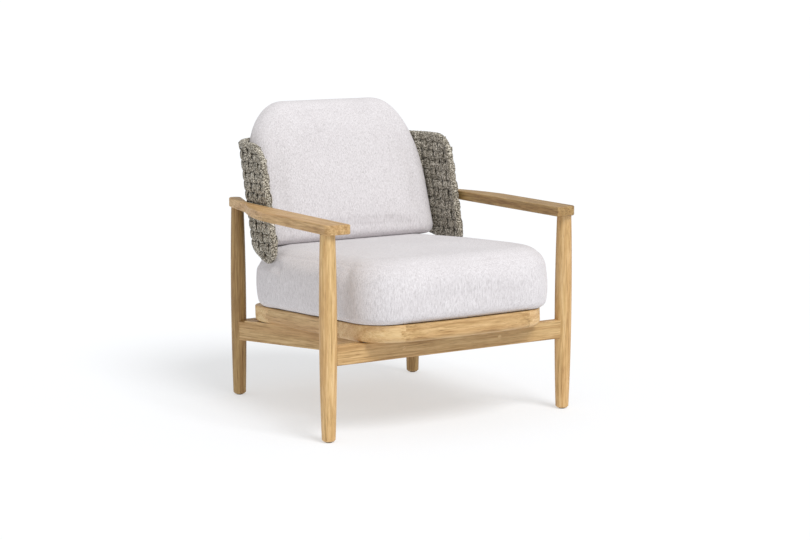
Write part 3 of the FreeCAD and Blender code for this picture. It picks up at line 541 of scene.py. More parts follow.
@dataclass
class TeakFrame:
    """The solid teak legs, rails, arms and seat ring, each with its own grain direction."""

    UP: ClassVar[tuple[float, float, float]] = (0.0, 0.0, 1.0)
    ACROSS: ClassVar[tuple[float, float, float]] = (1.0, 0.0, 0.0)
    ENDS: ClassVar[tuple[tuple[str, str], ...]] = (
        ("front", "right"), ("front", "left"), ("rear", "right"), ("rear", "left"))
    side_rail_lean: float = 139 / 638

    def legs(self) -> None:
        """Dresses the turned legs: the grain runs up the leg, and the rear legs take the darkest tone as
        painted shade.
        """
        for number, (end, side) in enumerate(self.ENDS):
            # the rear legs stand in the seat's shade, painted here as the darkest tone
            cut = TeakTone.TURNED if end == "front" else TeakTone.DEEP_SHADE
            dress([f"{end}_leg_{side}"], OiledTeak(cut, self.UP, 0.31 * (number + 1)))

    def arms(self) -> None:
        """Dresses the flat armrests: the grain runs from front to back; the right one takes the darkest tone
        as painted shade, the left one a darker tone that is partly painted shade.
        """
        # painted shade: the right armrest takes the darkest tone
        dress(["armrest_right"], OiledTeak(TeakTone.DEEP_SHADE, (0.05, 1.0, 0.0), 1.7))
        # the left armrest's darker tone is partly painted shade
        dress(["armrest_left"], OiledTeak(TeakTone.PLAIN, (-0.05, 1.0, 0.0), 2.3))

    def rails(self) -> None:
        """Dresses the rails: the grain runs along each rail."""
        # the rails take the darker tone, partly painted shade
        dress(["front_rail"], OiledTeak(TeakTone.PLAIN, self.ACROSS, 0.9))
        dress(["rear_rail"], OiledTeak(TeakTone.PLAIN, self.ACROSS, 1.4))
        dress(["side_rail_right"], OiledTeak(TeakTone.PLAIN, (self.side_rail_lean, 1.0, -0.05), 0.4))
        dress(["side_rail_left"], OiledTeak(TeakTone.PLAIN, (-self.side_rail_lean, 1.0, -0.05), 0.6))
        dress(["rail_plugs"], OiledTeak(TeakTone.PALE, (1.0, 0.0, 0.3), 3.1))

    def ring(self) -> None:
        """Dresses the seat ring: strips along their length, corner blocks across the corner."""
        # the ring's strips take the darker tone, partly painted shade
        dress(["ring_front", "ring_rear"], OiledTeak(TeakTone.PLAIN, self.ACROSS, 2.7))
        dress(["ring_side_right", "ring_side_left"], OiledTeak(TeakTone.PLAIN, (0.0, 1.0, -0.05), 3.6))
        for number, (end, side) in enumerate(self.ENDS):
            slope = 1.0 if (end == "front") == (side == "right") else -1.0
            dress([f"ring_corner_{end}_{side}"], OiledTeak(TeakTone.PALE, (1.0, 0.55 * slope, 0.0), 4.2 + number))

    def inside(self) -> None:
        """Dresses the slats and the dowels."""
        dress([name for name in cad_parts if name.startswith("seat_slat")],
              OiledTeak(TeakTone.INSIDE, self.ACROSS, 5.5))
        dress(["arm_dowels", "side_rail_dowels"], OiledTeak(TeakTone.INSIDE, self.UP, 6.1))

    def metal(self) -> None:
        """Dresses the fasteners, the shell's tube frame and the glides."""
        dress(["rail_bolts", "barrel_nuts", "ring_screws", "slat_screws", "post_bolts"], ZINC)
        dress(["shell_frame"], POWDER)
        dress([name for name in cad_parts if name.startswith("foot_glide")], NYLON)

    def build(self) -> None:
        """Dresses every piece of the frame."""
        for step in (self.legs, self.arms, self.rails, self.ring, self.inside, self.metal):
            step()
            LOG.info("frame: %s dressed", step.__name__)


# ---------------------------------------------------------------- woven shell

class Face(Enum):
    """The two skins of the shell, and which way each lies from the middle of the wall."""

    OUTER = 1
    INNER = -1


@dataclass
class WovenShell:
    """A U-shaped panel of flat cord, woven over and under on both faces of the tube frame.

    Lengths are in metres. The wall follows a U in plan that leans back, with level top and bottom edges,
    rounded wing corners, and a bottom edge that drops to a lobe at each wing.
    """

    lean: float = math.radians(14.5)
    front_y: float = 89 * MM
    low: float = 410 * MM
    half: float = 311 * MM
    depth: float = 215 * MM
    turn: float = 130 * MM
    top: float = 743 * MM
    back_low: float = 447 * MM
    lobe_end: float = 150 * MM
    rise_end: float = 262 * MM
    top_corner: float = 80 * MM
    low_corner: float = 45 * MM
    pitch: float = 26.5 * MM
    cord_width: float = 23.0 * MM
    cord_thick: float = 4.6 * MM
    skin: float = 5.2 * MM
    swing: float = 3.2 * MM
    step: float = 4.0 * MM
    rim_half: float = 10.0 * MM
    edge_cover: float = 6 * MM
    backing_half: float = 1.0 * MM
    cushion_gap: float = 2.5 * MM
    edge_ease: float = 4 * MM
    spill: float = 0.8
    front_spill: float = 0.5
    unevenness: float = 0.07
    half_band: float = 0.36
    crisp: float = 2.0
    rim_step: float = 0.8
    wrap_pitch: float = 12.5 * MM
    wrap_depth: float = 1.4 * MM

    def length(self) -> float:
        """Returns the length of the wall's middle line in plan."""
        return 2 * (self.depth - self.turn) + math.pi * self.turn + 2 * (self.half - self.turn)

    def plan(self, along: Points) -> tuple[Points, Points, Points, Points]:
        """Places points on the plan curve, from the right wing's front round to the left wing's.

        Args:
            along: distances along the curve.

        Returns:
            x, depth in the leaning frame, and the outward normal's x and depth parts.
        """
        straight, bend = self.depth - self.turn, math.pi * self.turn / 2
        mirrored = along > self.length() / 2
        near = np.where(mirrored, self.length() - along, along)
        angle = np.clip((near - straight) / self.turn, 0, math.pi / 2)
        back = np.clip(near - straight - bend, 0, None)
        x = self.half - self.turn + self.turn * np.cos(angle) - back
        y = np.minimum(near, straight) + self.turn * np.sin(angle)
        sign = np.where(mirrored, -1.0, 1.0)
        return x * sign, y, np.cos(angle) * sign, np.sin(angle)

    def spot(self, along: Points, z: Points, out: Points) -> tuple[Points, Points]:
        """Places points on the leaning wall.

        Args:
            along: distances along the plan curve.
            z: heights above the floor.
            out: distances outwards from the wall's middle.

        Returns:
            The points and the outward normals.
        """
        x, y, nx, ny = self.plan(along)
        normal = np.stack([nx, ny * math.cos(self.lean), -ny * math.sin(self.lean)], axis=1)
        world_y = self.front_y + y / math.cos(self.lean) + (z - self.low) * math.tan(self.lean)
        return np.stack([x, world_y, z], axis=1) + normal * np.asarray(out)[..., None], normal

    def limits(self, along: Points) -> tuple[Points, Points]:
        """Works out the wall's bottom and top edges.

        Args:
            along: distances along the plan curve.

        Returns:
            The lowest and the highest z at each distance.
        """
        _, y, _, _ = self.plan(along)
        slope = math.tan(self.lean)
        high_line = (self.top - self.low) / math.cos(self.lean) + y * slope
        base_y = self.front_y + y / math.cos(self.lean)
        rise = np.interp(base_y, [self.lobe_end, self.rise_end - 10 * MM], [0, self.back_low - self.low])
        low_line = rise / math.cos(self.lean) + y * slope
        r = self.top_corner
        centre = high_line[0] - y[0] * slope + r * slope - r / math.cos(self.lean)
        arc = centre + np.sqrt(np.clip(r * r - (r - y) ** 2, 0, None))
        high_line = np.where(y < r * (1 - math.sin(self.lean)), arc, high_line)
        r = self.low_corner
        centre = r * slope + r / math.cos(self.lean)
        arc = centre - np.sqrt(np.clip(r * r - (r - y) ** 2, 0, None))
        low_line = np.where(y < r * (1 + math.sin(self.lean)), arc, low_line)
        fall = y * math.sin(self.lean)
        return (self.low - fall + low_line * math.cos(self.lean),
                self.low - fall + high_line * math.cos(self.lean))

    def hold_in(self, points: Points) -> Points:
        """Keeps a cushion inside the wall and lets it swell over the wall's top edge.

        Args:
            points: rows of x, y, z in the chair.

        Returns:
            The points, moved in where they would touch the cord.
        """
        turn = self.turn - self.rim_half
        x, y, z = points.T
        run, rise = y - self.front_y, z - self.low
        depth = run * math.cos(self.lean) - rise * math.sin(self.lean)
        across = np.abs(x) - (self.half - self.rim_half - turn)
        back = depth - (self.depth - self.rim_half - turn)
        beyond = np.hypot(np.clip(across, 0, None), np.clip(back, 0, None))
        outside = beyond + np.minimum(np.maximum(across, back), 0) - turn
        over, under = z - self.top - self.edge_ease, self.low - self.edge_ease - z
        room = sum(np.clip(past * slope, 0, None)
                   for past, slope in ((over, self.spill), (under, self.spill), (-depth, self.front_spill)))
        excess = np.clip(outside - room + self.cushion_gap, 0, None)
        nx = np.clip(across, 0, None) * np.sign(x) / np.maximum(beyond, 1e-9)
        nd = np.clip(back, 0, None) / np.maximum(beyond, 1e-9)
        return np.stack([x - nx * excess, y - nd * excess * math.cos(self.lean),
                         z + nd * excess * math.sin(self.lean)], axis=1)

    def clear(self, along: Points, reach: float) -> tuple[Points, Points]:
        """Works out the edges that leave room for a band on both sides of each place.

        Args:
            along: distances along the plan curve.
            reach: how far the band goes to each side.

        Returns:
            The highest bottom edge and the lowest top edge within the reach.
        """
        edges = [self.limits(np.clip(along + side, 0, self.length())) for side in (-reach, 0, reach)]
        return (np.max([low for low, _ in edges], axis=0) + self.edge_cover,
                np.min([high for _, high in edges], axis=0) - self.edge_cover)

    def wave(self, at: Points, crossings: Points, first: int) -> Points:
        """Works out how far a cord swings over and under the cords that it crosses.

        Args:
            at: places along the cord.
            crossings: where the other cords lie.
            first: zero or one, whether the cord starts over or under.

        Returns:
            The swing at each place, from minus one to one.
        """
        phase = np.interp(at, crossings, np.arange(len(crossings)))
        swing = np.cos(math.pi * (phase + first))
        return np.tanh(self.crisp * swing) / math.tanh(self.crisp)

    def weave(self, face: Face, dice: random.Random) -> tuple[StrandSet, StrandSet]:
        """Lays the upright cords and the level cords of one skin.

        Args:
            face: which skin.
            dice: the seeded source of unevenness.

        Returns:
            The uprights and the level cords.
        """
        columns = int(self.length() / self.pitch)
        rows = int((self.top - self.low) / self.pitch)
        uneven = self.unevenness * self.pitch
        across = np.array([(i + 0.5) * self.length() / columns + dice.uniform(-uneven, uneven)
                           for i in range(columns)])
        levels = np.array([self.low + (j + 0.5) * (self.top - self.low) / rows
                           + dice.uniform(-uneven, uneven) for j in range(rows)])
        uprights, lines = StrandSet(), StrandSet()
        reach = self.half_band * self.cord_width
        for number, place in enumerate(across):
            low, high = self.clear(np.array([place]), reach)
            z = np.linspace(low[0], high[0], int((high[0] - low[0]) / self.step))
            drift = uneven * 0.5 * np.sin(z * dice.uniform(15, 25) + dice.uniform(0, 6))
            swing = self.wave(z, levels, number % 2)
            self.lay(uprights, place + drift, z, swing, face, dice)
        grid = np.arange(0, self.length(), self.step)
        lows, highs = self.clear(grid, 0)
        for number, level in enumerate(levels):
            inside = (lows < level - reach) & (level + reach < highs)
            inside &= (grid > self.edge_cover) & (grid < self.length() - self.edge_cover)
            edges = np.flatnonzero(np.diff(np.concatenate([[0], inside.astype(int), [0]])))
            for start, end in zip(edges[::2], edges[1::2]):
                if end - start < 6:
                    continue
                run = grid[start:end]
                drift = uneven * 0.4 * np.sin(run * dice.uniform(12, 20) + dice.uniform(0, 6))
                swing = self.wave(run, across, (number + 1) % 2)
                self.lay(lines, run, level + drift, swing, face, dice)
        return uprights, lines

    def lay(self, strands: StrandSet, along: Points, z: Points, swing: Points, face: Face,
            dice: random.Random) -> None:
        """Lays one cord on the wall.

        Args:
            strands: the set that takes the cord.
            along: distances along the plan curve.
            z: heights.
            swing: over and under, from minus one to one.
            face: which skin.
            dice: the seeded source of unevenness.
        """
        out = face.value * (self.skin + self.swing * swing)
        along, z, out = np.broadcast_arrays(along, z, out)
        path, normal = self.spot(along, z, out)
        width = self.cord_width * dice.uniform(0.9, 1.03) * (0.97 + 0.03 * swing)
        strands.sweep(path, normal * face.value, width, np.full(len(path), self.cord_thick))

    def rim_path(self) -> tuple[Points, Points]:
        """Follows the wall's whole edge, moved in by half the rim's width.

        Returns:
            The rim's middle line and the wall's normals along it.
        """
        ease = (1 - np.cos(np.linspace(0, math.pi, 400))) / 2
        along = ease * self.length()
        low, high = self.limits(along)
        front = np.linspace(low[0], high[0], 60)[1:-1]
        loop_s = np.concatenate([np.zeros(len(front)), along, np.full(len(front), self.length()),
                                 along[::-1]])
        loop_z = np.concatenate([front, high, front[::-1], low[::-1]])
        path, normal = self.spot(loop_s, loop_z, np.zeros(len(loop_s)))
        steps = np.linalg.norm(np.roll(path, -1, 0) - path, axis=1)
        whole = np.concatenate([[0.0], np.cumsum(steps)])
        even = np.arange(0, whole[-1], self.step * self.rim_step)
        path, normal = (np.stack([np.interp(even, whole, np.append(row[:, k], row[0, k])) for k in range(3)],
                                 axis=1) for row in (path, normal))
        for _ in range(6):
            path = path * 0.5 + (np.roll(path, 1, 0) + np.roll(path, -1, 0)) * 0.25
        normal /= np.linalg.norm(normal, axis=1, keepdims=True)
        tangent = np.roll(path, -1, 0) - np.roll(path, 1, 0)
        inward = np.cross(tangent, normal)
        inward /= np.linalg.norm(inward, axis=1, keepdims=True)
        if np.dot(inward[0], np.array([0, 1, 0])) < 0:
            inward = -inward
        return path + inward * self.rim_half, normal

    def rim(self) -> StrandSet:
        """Wraps the edge: a rolled core with a slight ridge for every turn of the cord."""
        path, normal = self.rim_path()
        turns = np.arange(len(path)) * self.step * self.rim_step
        ridge = 0.5 + 0.5 * np.cos(turns * 2 * math.pi / self.wrap_pitch)
        wide = 2 * self.rim_half - self.wrap_depth * (1 - ridge)
        strands = StrandSet(sides=16)
        strands.sweep(path, normal, wide, wide * 0.98, closed=True, square=0.9)
        return strands

    def backing(self) -> bpy.types.Object:
        """Makes the closed layer of cord between the skins, so that no light comes through the gaps."""
        along = np.linspace(self.edge_cover, self.length() - self.edge_cover, 150)
        low, high = self.clear(along, 0)
        shares = np.linspace(0, 1, 26)
        z = low[:, None] + (high - low)[:, None] * shares
        rings = []
        for column in range(len(along)):
            there = np.full(len(shares), along[column])
            front, _ = self.spot(there, z[column], np.full(len(shares), self.backing_half))
            back, _ = self.spot(there, z[column], np.full(len(shares), -self.backing_half))
            rings.append(np.concatenate([front, back[::-1]]))
        points, faces = closed_skin(rings)
        return make_piece("shell_backing", points, faces, BraidedCord())

    def build(self) -> None:
        """Weaves both skins, the layer between them and the rim."""
        dice = random.Random(11)
        cord = BraidedCord()
        made = []
        for face in Face:
            uprights, lines = self.weave(face, dice)
            made.append(uprights.build(f"shell_uprights_{face.name.lower()}", cord))
            made.append(lines.build(f"shell_weavers_{face.name.lower()}", cord))
        made.append(self.rim().build("shell_rim", cord))
        made.append(self.backing())
        for piece in made:
            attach(piece, "frame")
            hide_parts("back_shell")
            LOG.info("shell: %s, %d points", piece.name, len(piece.data.vertices))


# ---------------------------------------------------------------- cushions

@dataclass
class Padding:
    """How a cushion swells: a cloth skin under air pressure, held by its seams."""

    voxel: float = 6 * MM
    pressure: float = 4.0
    frames: int = 20
    cap: float = 9 * MM
    give: float = 0.5 * MM
    rounds: int = 14
    quality: int = 4
    stretch_stiffness: float = 25
    bend_stiffness: float = 2
    least_hold: float = 0.01

    def remesh(self, piece: bpy.types.Object) -> None:
        """Turns the form into an even grid of points."""
        mesh = piece.modifiers.new("even", "REMESH")
        mesh.mode = "VOXEL"
        mesh.voxel_size = self.voxel
        self.apply(piece)

    def apply(self, piece: bpy.types.Object) -> None:
        """Keeps the mesh that the piece's modifiers make and drops the modifiers."""
        graph = bpy.context.evaluated_depsgraph_get()
        graph.update()
        mesh = bpy.data.meshes.new_from_object(piece.evaluated_get(graph))
        piece.modifiers.clear()
        old = piece.data
        piece.data = mesh
        bpy.data.meshes.remove(old)

    def swell(self, piece: bpy.types.Object, hold: Callable[[Points], Points]) -> None:
        """Blows the cushion up and caps how far any point moves.

        Args:
            piece: the evenly meshed form.
            hold: gives each point's hold, from zero, free, to one, sewn fast.
        """
        before, normals = read_points(piece), point_normals(piece)
        group = piece.vertex_groups.new(name="sewn")
        for number, weight in enumerate(hold(before)):
            if weight > self.least_hold:
                group.add([number], float(weight), "REPLACE")
        cloth = piece.modifiers.new("swell", "CLOTH")
        cloth.settings.quality = self.quality
        cloth.settings.use_pressure = True
        cloth.settings.uniform_pressure_force = self.pressure
        cloth.settings.tension_stiffness = cloth.settings.compression_stiffness = self.stretch_stiffness
        cloth.settings.bending_stiffness = self.bend_stiffness
        cloth.settings.vertex_group_mass = "sewn"
        cloth.settings.effector_weights.gravity = 0
        cloth.collision_settings.use_collision = False
        cloth.point_cache.frame_start = 1
        cloth.point_cache.frame_end = self.frames
        scene = bpy.context.scene
        for number in range(1, self.frames + 1):
            scene.frame_set(number)
        self.apply(piece)
        scene.frame_set(1)
        moved = read_points(piece) - before
        sunk = -(moved * normals).sum(1, keepdims=True)
        moved += normals * np.clip(sunk - self.give, 0, None)
        far = np.linalg.norm(moved, axis=1, keepdims=True)
        moved = moved * np.tanh(far / self.cap) * self.cap / np.maximum(far, 1e-9)
        write_points(piece, before + self.relaxed(piece, moved))

    def relaxed(self, piece: bpy.types.Object, values: Points) -> Points:
        """Evens out rows of values between neighbouring points.

        Args:
            piece: the mesh that says which points are neighbours.
            values: one row for each point.

        Returns:
            The evened rows.
        """
        ends = np.zeros(len(piece.data.edges) * 2, dtype=int)
        piece.data.edges.foreach_get("vertices", ends)
        first, second = ends.reshape(-1, 2).T
        count = np.bincount(ends, minlength=len(values))[:, None]
        for _ in range(self.rounds):
            total = np.zeros_like(values)
            np.add.at(total, first, values[second])
            np.add.at(total, second, values[first])
            values = 0.5 * values + 0.5 * total / np.maximum(count, 1)
        return values

    def subdivide(self, piece: bpy.types.Object) -> None:
        """Smooths the skin with one subdivision."""
        piece.modifiers.new("smooth", "SUBSURF").levels = 1
        self.apply(piece)
        piece.data.polygons.foreach_set("use_smooth", [True] * len(piece.data.polygons))


def read_points(piece: bpy.types.Object) -> Points:
    """Returns the piece's points as rows of x, y, z."""
    points = np.zeros(len(piece.data.vertices) * 3)
    piece.data.vertices.foreach_get("co", points)
    return points.reshape(-1, 3)


def write_points(piece: bpy.types.Object, points: Points) -> None:
    """Moves the piece's points to the rows given."""
    piece.data.vertices.foreach_set("co", points.ravel())
    piece.data.update()


def point_normals(piece: bpy.types.Object) -> Points:
    """Returns the outward normal at each point."""
    normals = np.zeros(len(piece.data.vertices) * 3)
    piece.data.vertices.foreach_get("normal", normals)
    return normals.reshape(-1, 3)


def closed_skin(rings: list[Points]) -> tuple[Points, list[tuple[int, ...]]]:
    """Joins rings of equal count into a closed skin.

    Args:
        rings: rings from one pole to the other, all with the same number of points.

    Returns:
        The points and the faces.
    """
    count = len(rings[0])
    points = np.concatenate(rings + [rings[0].mean(0)[None], rings[-1].mean(0)[None]])
    faces = []
    for level in range(len(rings) - 1):
        for k in range(count):
            n = (k + 1) % count
            faces.append((level * count + k, level * count + n, (level + 1) * count + n,
                          (level + 1) * count + k))
    low, high = len(points) - 2, len(points) - 1
    last = (len(rings) - 1) * count
    for k in range(count):
        n = (k + 1) % count
        faces.append((n, k, low))
        faces.append((last + k, last + n, high))
    return points, faces


def evenly(loop: Points, count: int) -> Points:
    """Spaces points evenly round a closed loop.

    Args:
        loop: rows of two coordinates.
        count: how many points to return.

    Returns:
        The even points, from the loop's first point on.
    """
    steps = np.linalg.norm(np.roll(loop, -1, 0) - loop, axis=1)
    whole = np.concatenate([[0.0], np.cumsum(steps)])
    even = np.linspace(0, whole[-1], count, endpoint=False)
    return np.stack([np.interp(even, whole, np.append(loop[:, k], loop[0, k])) for k in (0, 1)], axis=1)


def filled(rings: list[Points], steps: int = 14, least: float = 0.05, most: float = 0.95) -> list[Points]:
    """Closes in on the middle of the first and the last ring with smaller rings.

    Args:
        rings: the rings of a form's side.
        steps: how many smaller rings each end gets.
        least: the smallest ring's share of the full one.
        most: the largest ring's share.

    Returns:
        All the rings, from one end's middle to the other's.
    """
    near, far = ([ring.mean(0) + (ring - ring.mean(0)) * share for share in np.linspace(least, most, steps)]
                 for ring in (rings[0], rings[-1]))
    return near + rings + far[::-1]


def smooth_step(value: Points) -> Points:
    """Eases from zero to one."""
    value = np.clip(value, 0, 1)
    return value * value * (3 - 2 * value)


@dataclass
class Zipper:
    """A coil zip across the back of a cushion: tape, coil, slider with its pull, and two rows of stitches.

    Lengths are in metres.
    """

    body: str
    depth: float
    height: float
    half: float = 210 * MM
    tape_width: float = 28 * MM
    coil_pitch: float = 3.2 * MM
    stitch_pitch: float = 4.0 * MM
    tape_thick: float = 1.6 * MM
    lift: float = 0.6 * MM
    coil_lift: float = 1.9 * MM
    coil_swing: float = 2.2 * MM
    wire: float = 1.3 * MM
    slider_lift: float = 3.0 * MM
    slider_width: float = 9.5 * MM
    slider_thick: float = 3.6 * MM
    slider_place: tuple[int, int] = (40, 20)
    pull_lift: float = 5.2 * MM
    pull_width: float = 5.5 * MM
    pull_thick: float = 1.4 * MM
    pull_place: tuple[int, int] = (66, 34)
    stitch_side: float = 10 * MM
    stitch_lift: float = 1.5 * MM
    stitch_wave: float = 0.35 * MM
    thread: float = 0.8 * MM
    coil_points: int = 4

    def line(self, skin: bpy.types.Object, to_chair: Callable[[Points], Points],
             step: float) -> tuple[Points, Points]:
        """Finds a level line on the cushion's skin by looking in from behind.

        Args:
            skin: the cushion.
            to_chair: turns the cushion's own frame into the chair's.
            step: the space between points.

        Returns:
            The points and the skin's normals.
        """
        mesh = skin.data
        tree = BVHTree.FromPolygons([v.co for v in mesh.vertices],
                                    [tuple(f.vertices) for f in mesh.polygons])
        x = np.arange(-self.half, self.half, step)
        start = to_chair(np.column_stack([x, np.full(len(x), self.depth), np.full(len(x), self.height)]))
        ahead = to_chair(np.column_stack([x, np.full(len(x), self.depth - 1), np.full(len(x), self.height)]))
        hits = [tree.ray_cast(Vector(a), Vector(b - a))[:2] for a, b in zip(start, ahead)]
        spots = np.array([spot for spot, _ in hits])
        normals = np.array([normal for _, normal in hits])
        for _ in range(4):
            normals[1:-1] = (normals[:-2] + 2 * normals[1:-1] + normals[2:]) / 4
        return spots, normals / np.linalg.norm(normals, axis=1, keepdims=True)

    def across(self, spots: Points, normals: Points) -> Points:
        """Returns the direction across the tape at each point."""
        side = np.cross(np.gradient(spots, axis=0), normals)
        return side / np.linalg.norm(side, axis=1, keepdims=True)

    def build(self, skin: bpy.types.Object, to_chair: Callable[[Points], Points]) -> None:
        """Makes the zip on the cushion's skin.

        Args:
            skin: the cushion.
            to_chair: turns the cushion's own frame into the chair's.
        """
        spots, normals = self.line(skin, to_chair, self.coil_pitch / self.coil_points)
        side = self.across(spots, normals)
        count = len(spots)
        even = np.ones(count)
        tape, coil, slider, stitches = StrandSet(), StrandSet(sides=6), StrandSet(), StrandSet(sides=6)
        few = slice(None, None, self.coil_points)
        tape.sweep((spots + normals * self.lift)[few], normals[few], even[few] * self.tape_width,
                   even[few] * self.tape_thick, square=0.4)
        swing = self.coil_swing * np.sin(np.arange(count) * 2 * math.pi / self.coil_points)
        coil.sweep(spots + normals * self.coil_lift + side * swing[:, None], normals, even * self.wire,
                   even * self.wire, square=1.0)
        body = slice(count - self.slider_place[0], count - self.slider_place[1])
        swell = np.sin(np.linspace(0.5, math.pi - 0.5, body.stop - body.start))
        slider.sweep(spots[body] + normals[body] * self.slider_lift, normals[body],
                     self.slider_width * swell, self.slider_thick * swell, square=0.5)
        pull = slice(count - self.pull_place[0], count - self.pull_place[1])
        slider.sweep(spots[pull] + normals[pull] * self.pull_lift, normals[pull],
                     even[pull] * self.pull_width, even[pull] * self.pull_thick, square=0.5)
        along = np.arange(count) * self.coil_pitch / self.coil_points
        wave = self.stitch_lift + self.stitch_wave * np.sin(2 * math.pi * along / self.stitch_pitch)
        for way in (-1, 1):
            stitches.sweep(spots + side * way * self.stitch_side + normals * wave[:, None], normals,
                           even * self.thread, even * self.thread, square=1.0)
        made = {"tape": (tape, ZIP_TAPE), "coil": (coil, ZIP_TAPE), "slider": (slider, ZINC),
                "stitches": (stitches, THREAD)}
        for name, (strands, finish) in made.items():
            piece = strands.build(f"{self.body}_zip_{name}", finish)
            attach(piece, self.body)
            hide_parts(f"{self.body}_zipper")


@dataclass
class Cushion(ABC):
    """What both cushions share: a tilted frame of their own, a swollen skin, a drawn-in seam and a zip.

    Lengths are in metres. A point in a cushion's own frame is x, depth and height.
    """

    body: str
    fabric: str
    tilt: float
    origin_y: float
    origin_z: float
    shrink: float
    seam_depth: float
    seam_width: float
    seam_hold: float
    fill: float
    look_in: float
    zip_height: float
    hold_reach: float = 7 * MM

    def to_chair(self, points: Points) -> Points:
        """Sets points of the cushion's own frame into the chair."""
        x, depth, height = points.T
        y = self.origin_y + depth * math.cos(self.tilt) + height * math.sin(self.tilt)
        z = self.origin_z - depth * math.sin(self.tilt) + height * math.cos(self.tilt)
        return np.stack([x, y, z], axis=1)

    def to_own(self, points: Points) -> Points:
        """Turns chair points into the cushion's own frame."""
        x, y, z = points.T
        run, rise = y - self.origin_y, z - self.origin_z
        return np.stack([x, run * math.cos(self.tilt) - rise * math.sin(self.tilt),
                         run * math.sin(self.tilt) + rise * math.cos(self.tilt)], axis=1)

    @abstractmethod
    def form(self) -> bpy.types.Object:
        """Makes the closed form that is swollen afterwards."""

    @abstractmethod
    def seam_distance(self, points: Points) -> Points:
        """Works out how far each point is from the nearest seam."""

    def groove(self, points: Points) -> Points:
        """Works out how far the seam draws each point in."""
        return self.seam_depth * np.exp(-(self.seam_distance(points) / self.seam_width) ** 2)

    def held(self, points: Points) -> Points:
        """Works out how fast the seam holds each point while the cushion swells."""
        return self.seam_hold * np.exp(-(self.seam_distance(points) / self.hold_reach) ** 2)

    def settled(self, points: Points) -> Points:
        """Returns the swollen points, moved where the cushion rests on something."""
        return points

    def build(self) -> None:
        """Makes, swells and sews the cushion and puts its zip in."""
        piece = self.form()
        padding = Padding()
        padding.remesh(piece)
        padding.swell(piece, self.held)
        write_points(piece, WovenShell().hold_in(self.settled(read_points(piece))))
        padding.subdivide(piece)
        points, normals = read_points(piece), point_normals(piece)
        write_points(piece, points - normals * self.groove(points)[:, None])
        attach(piece, self.body)
        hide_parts(f"{self.body}_cover", f"{self.body}_foam")
        Zipper(self.body, self.look_in, self.zip_height).build(piece, self.to_chair)
        LOG.info("%s: %d points", self.body, len(piece.data.vertices))


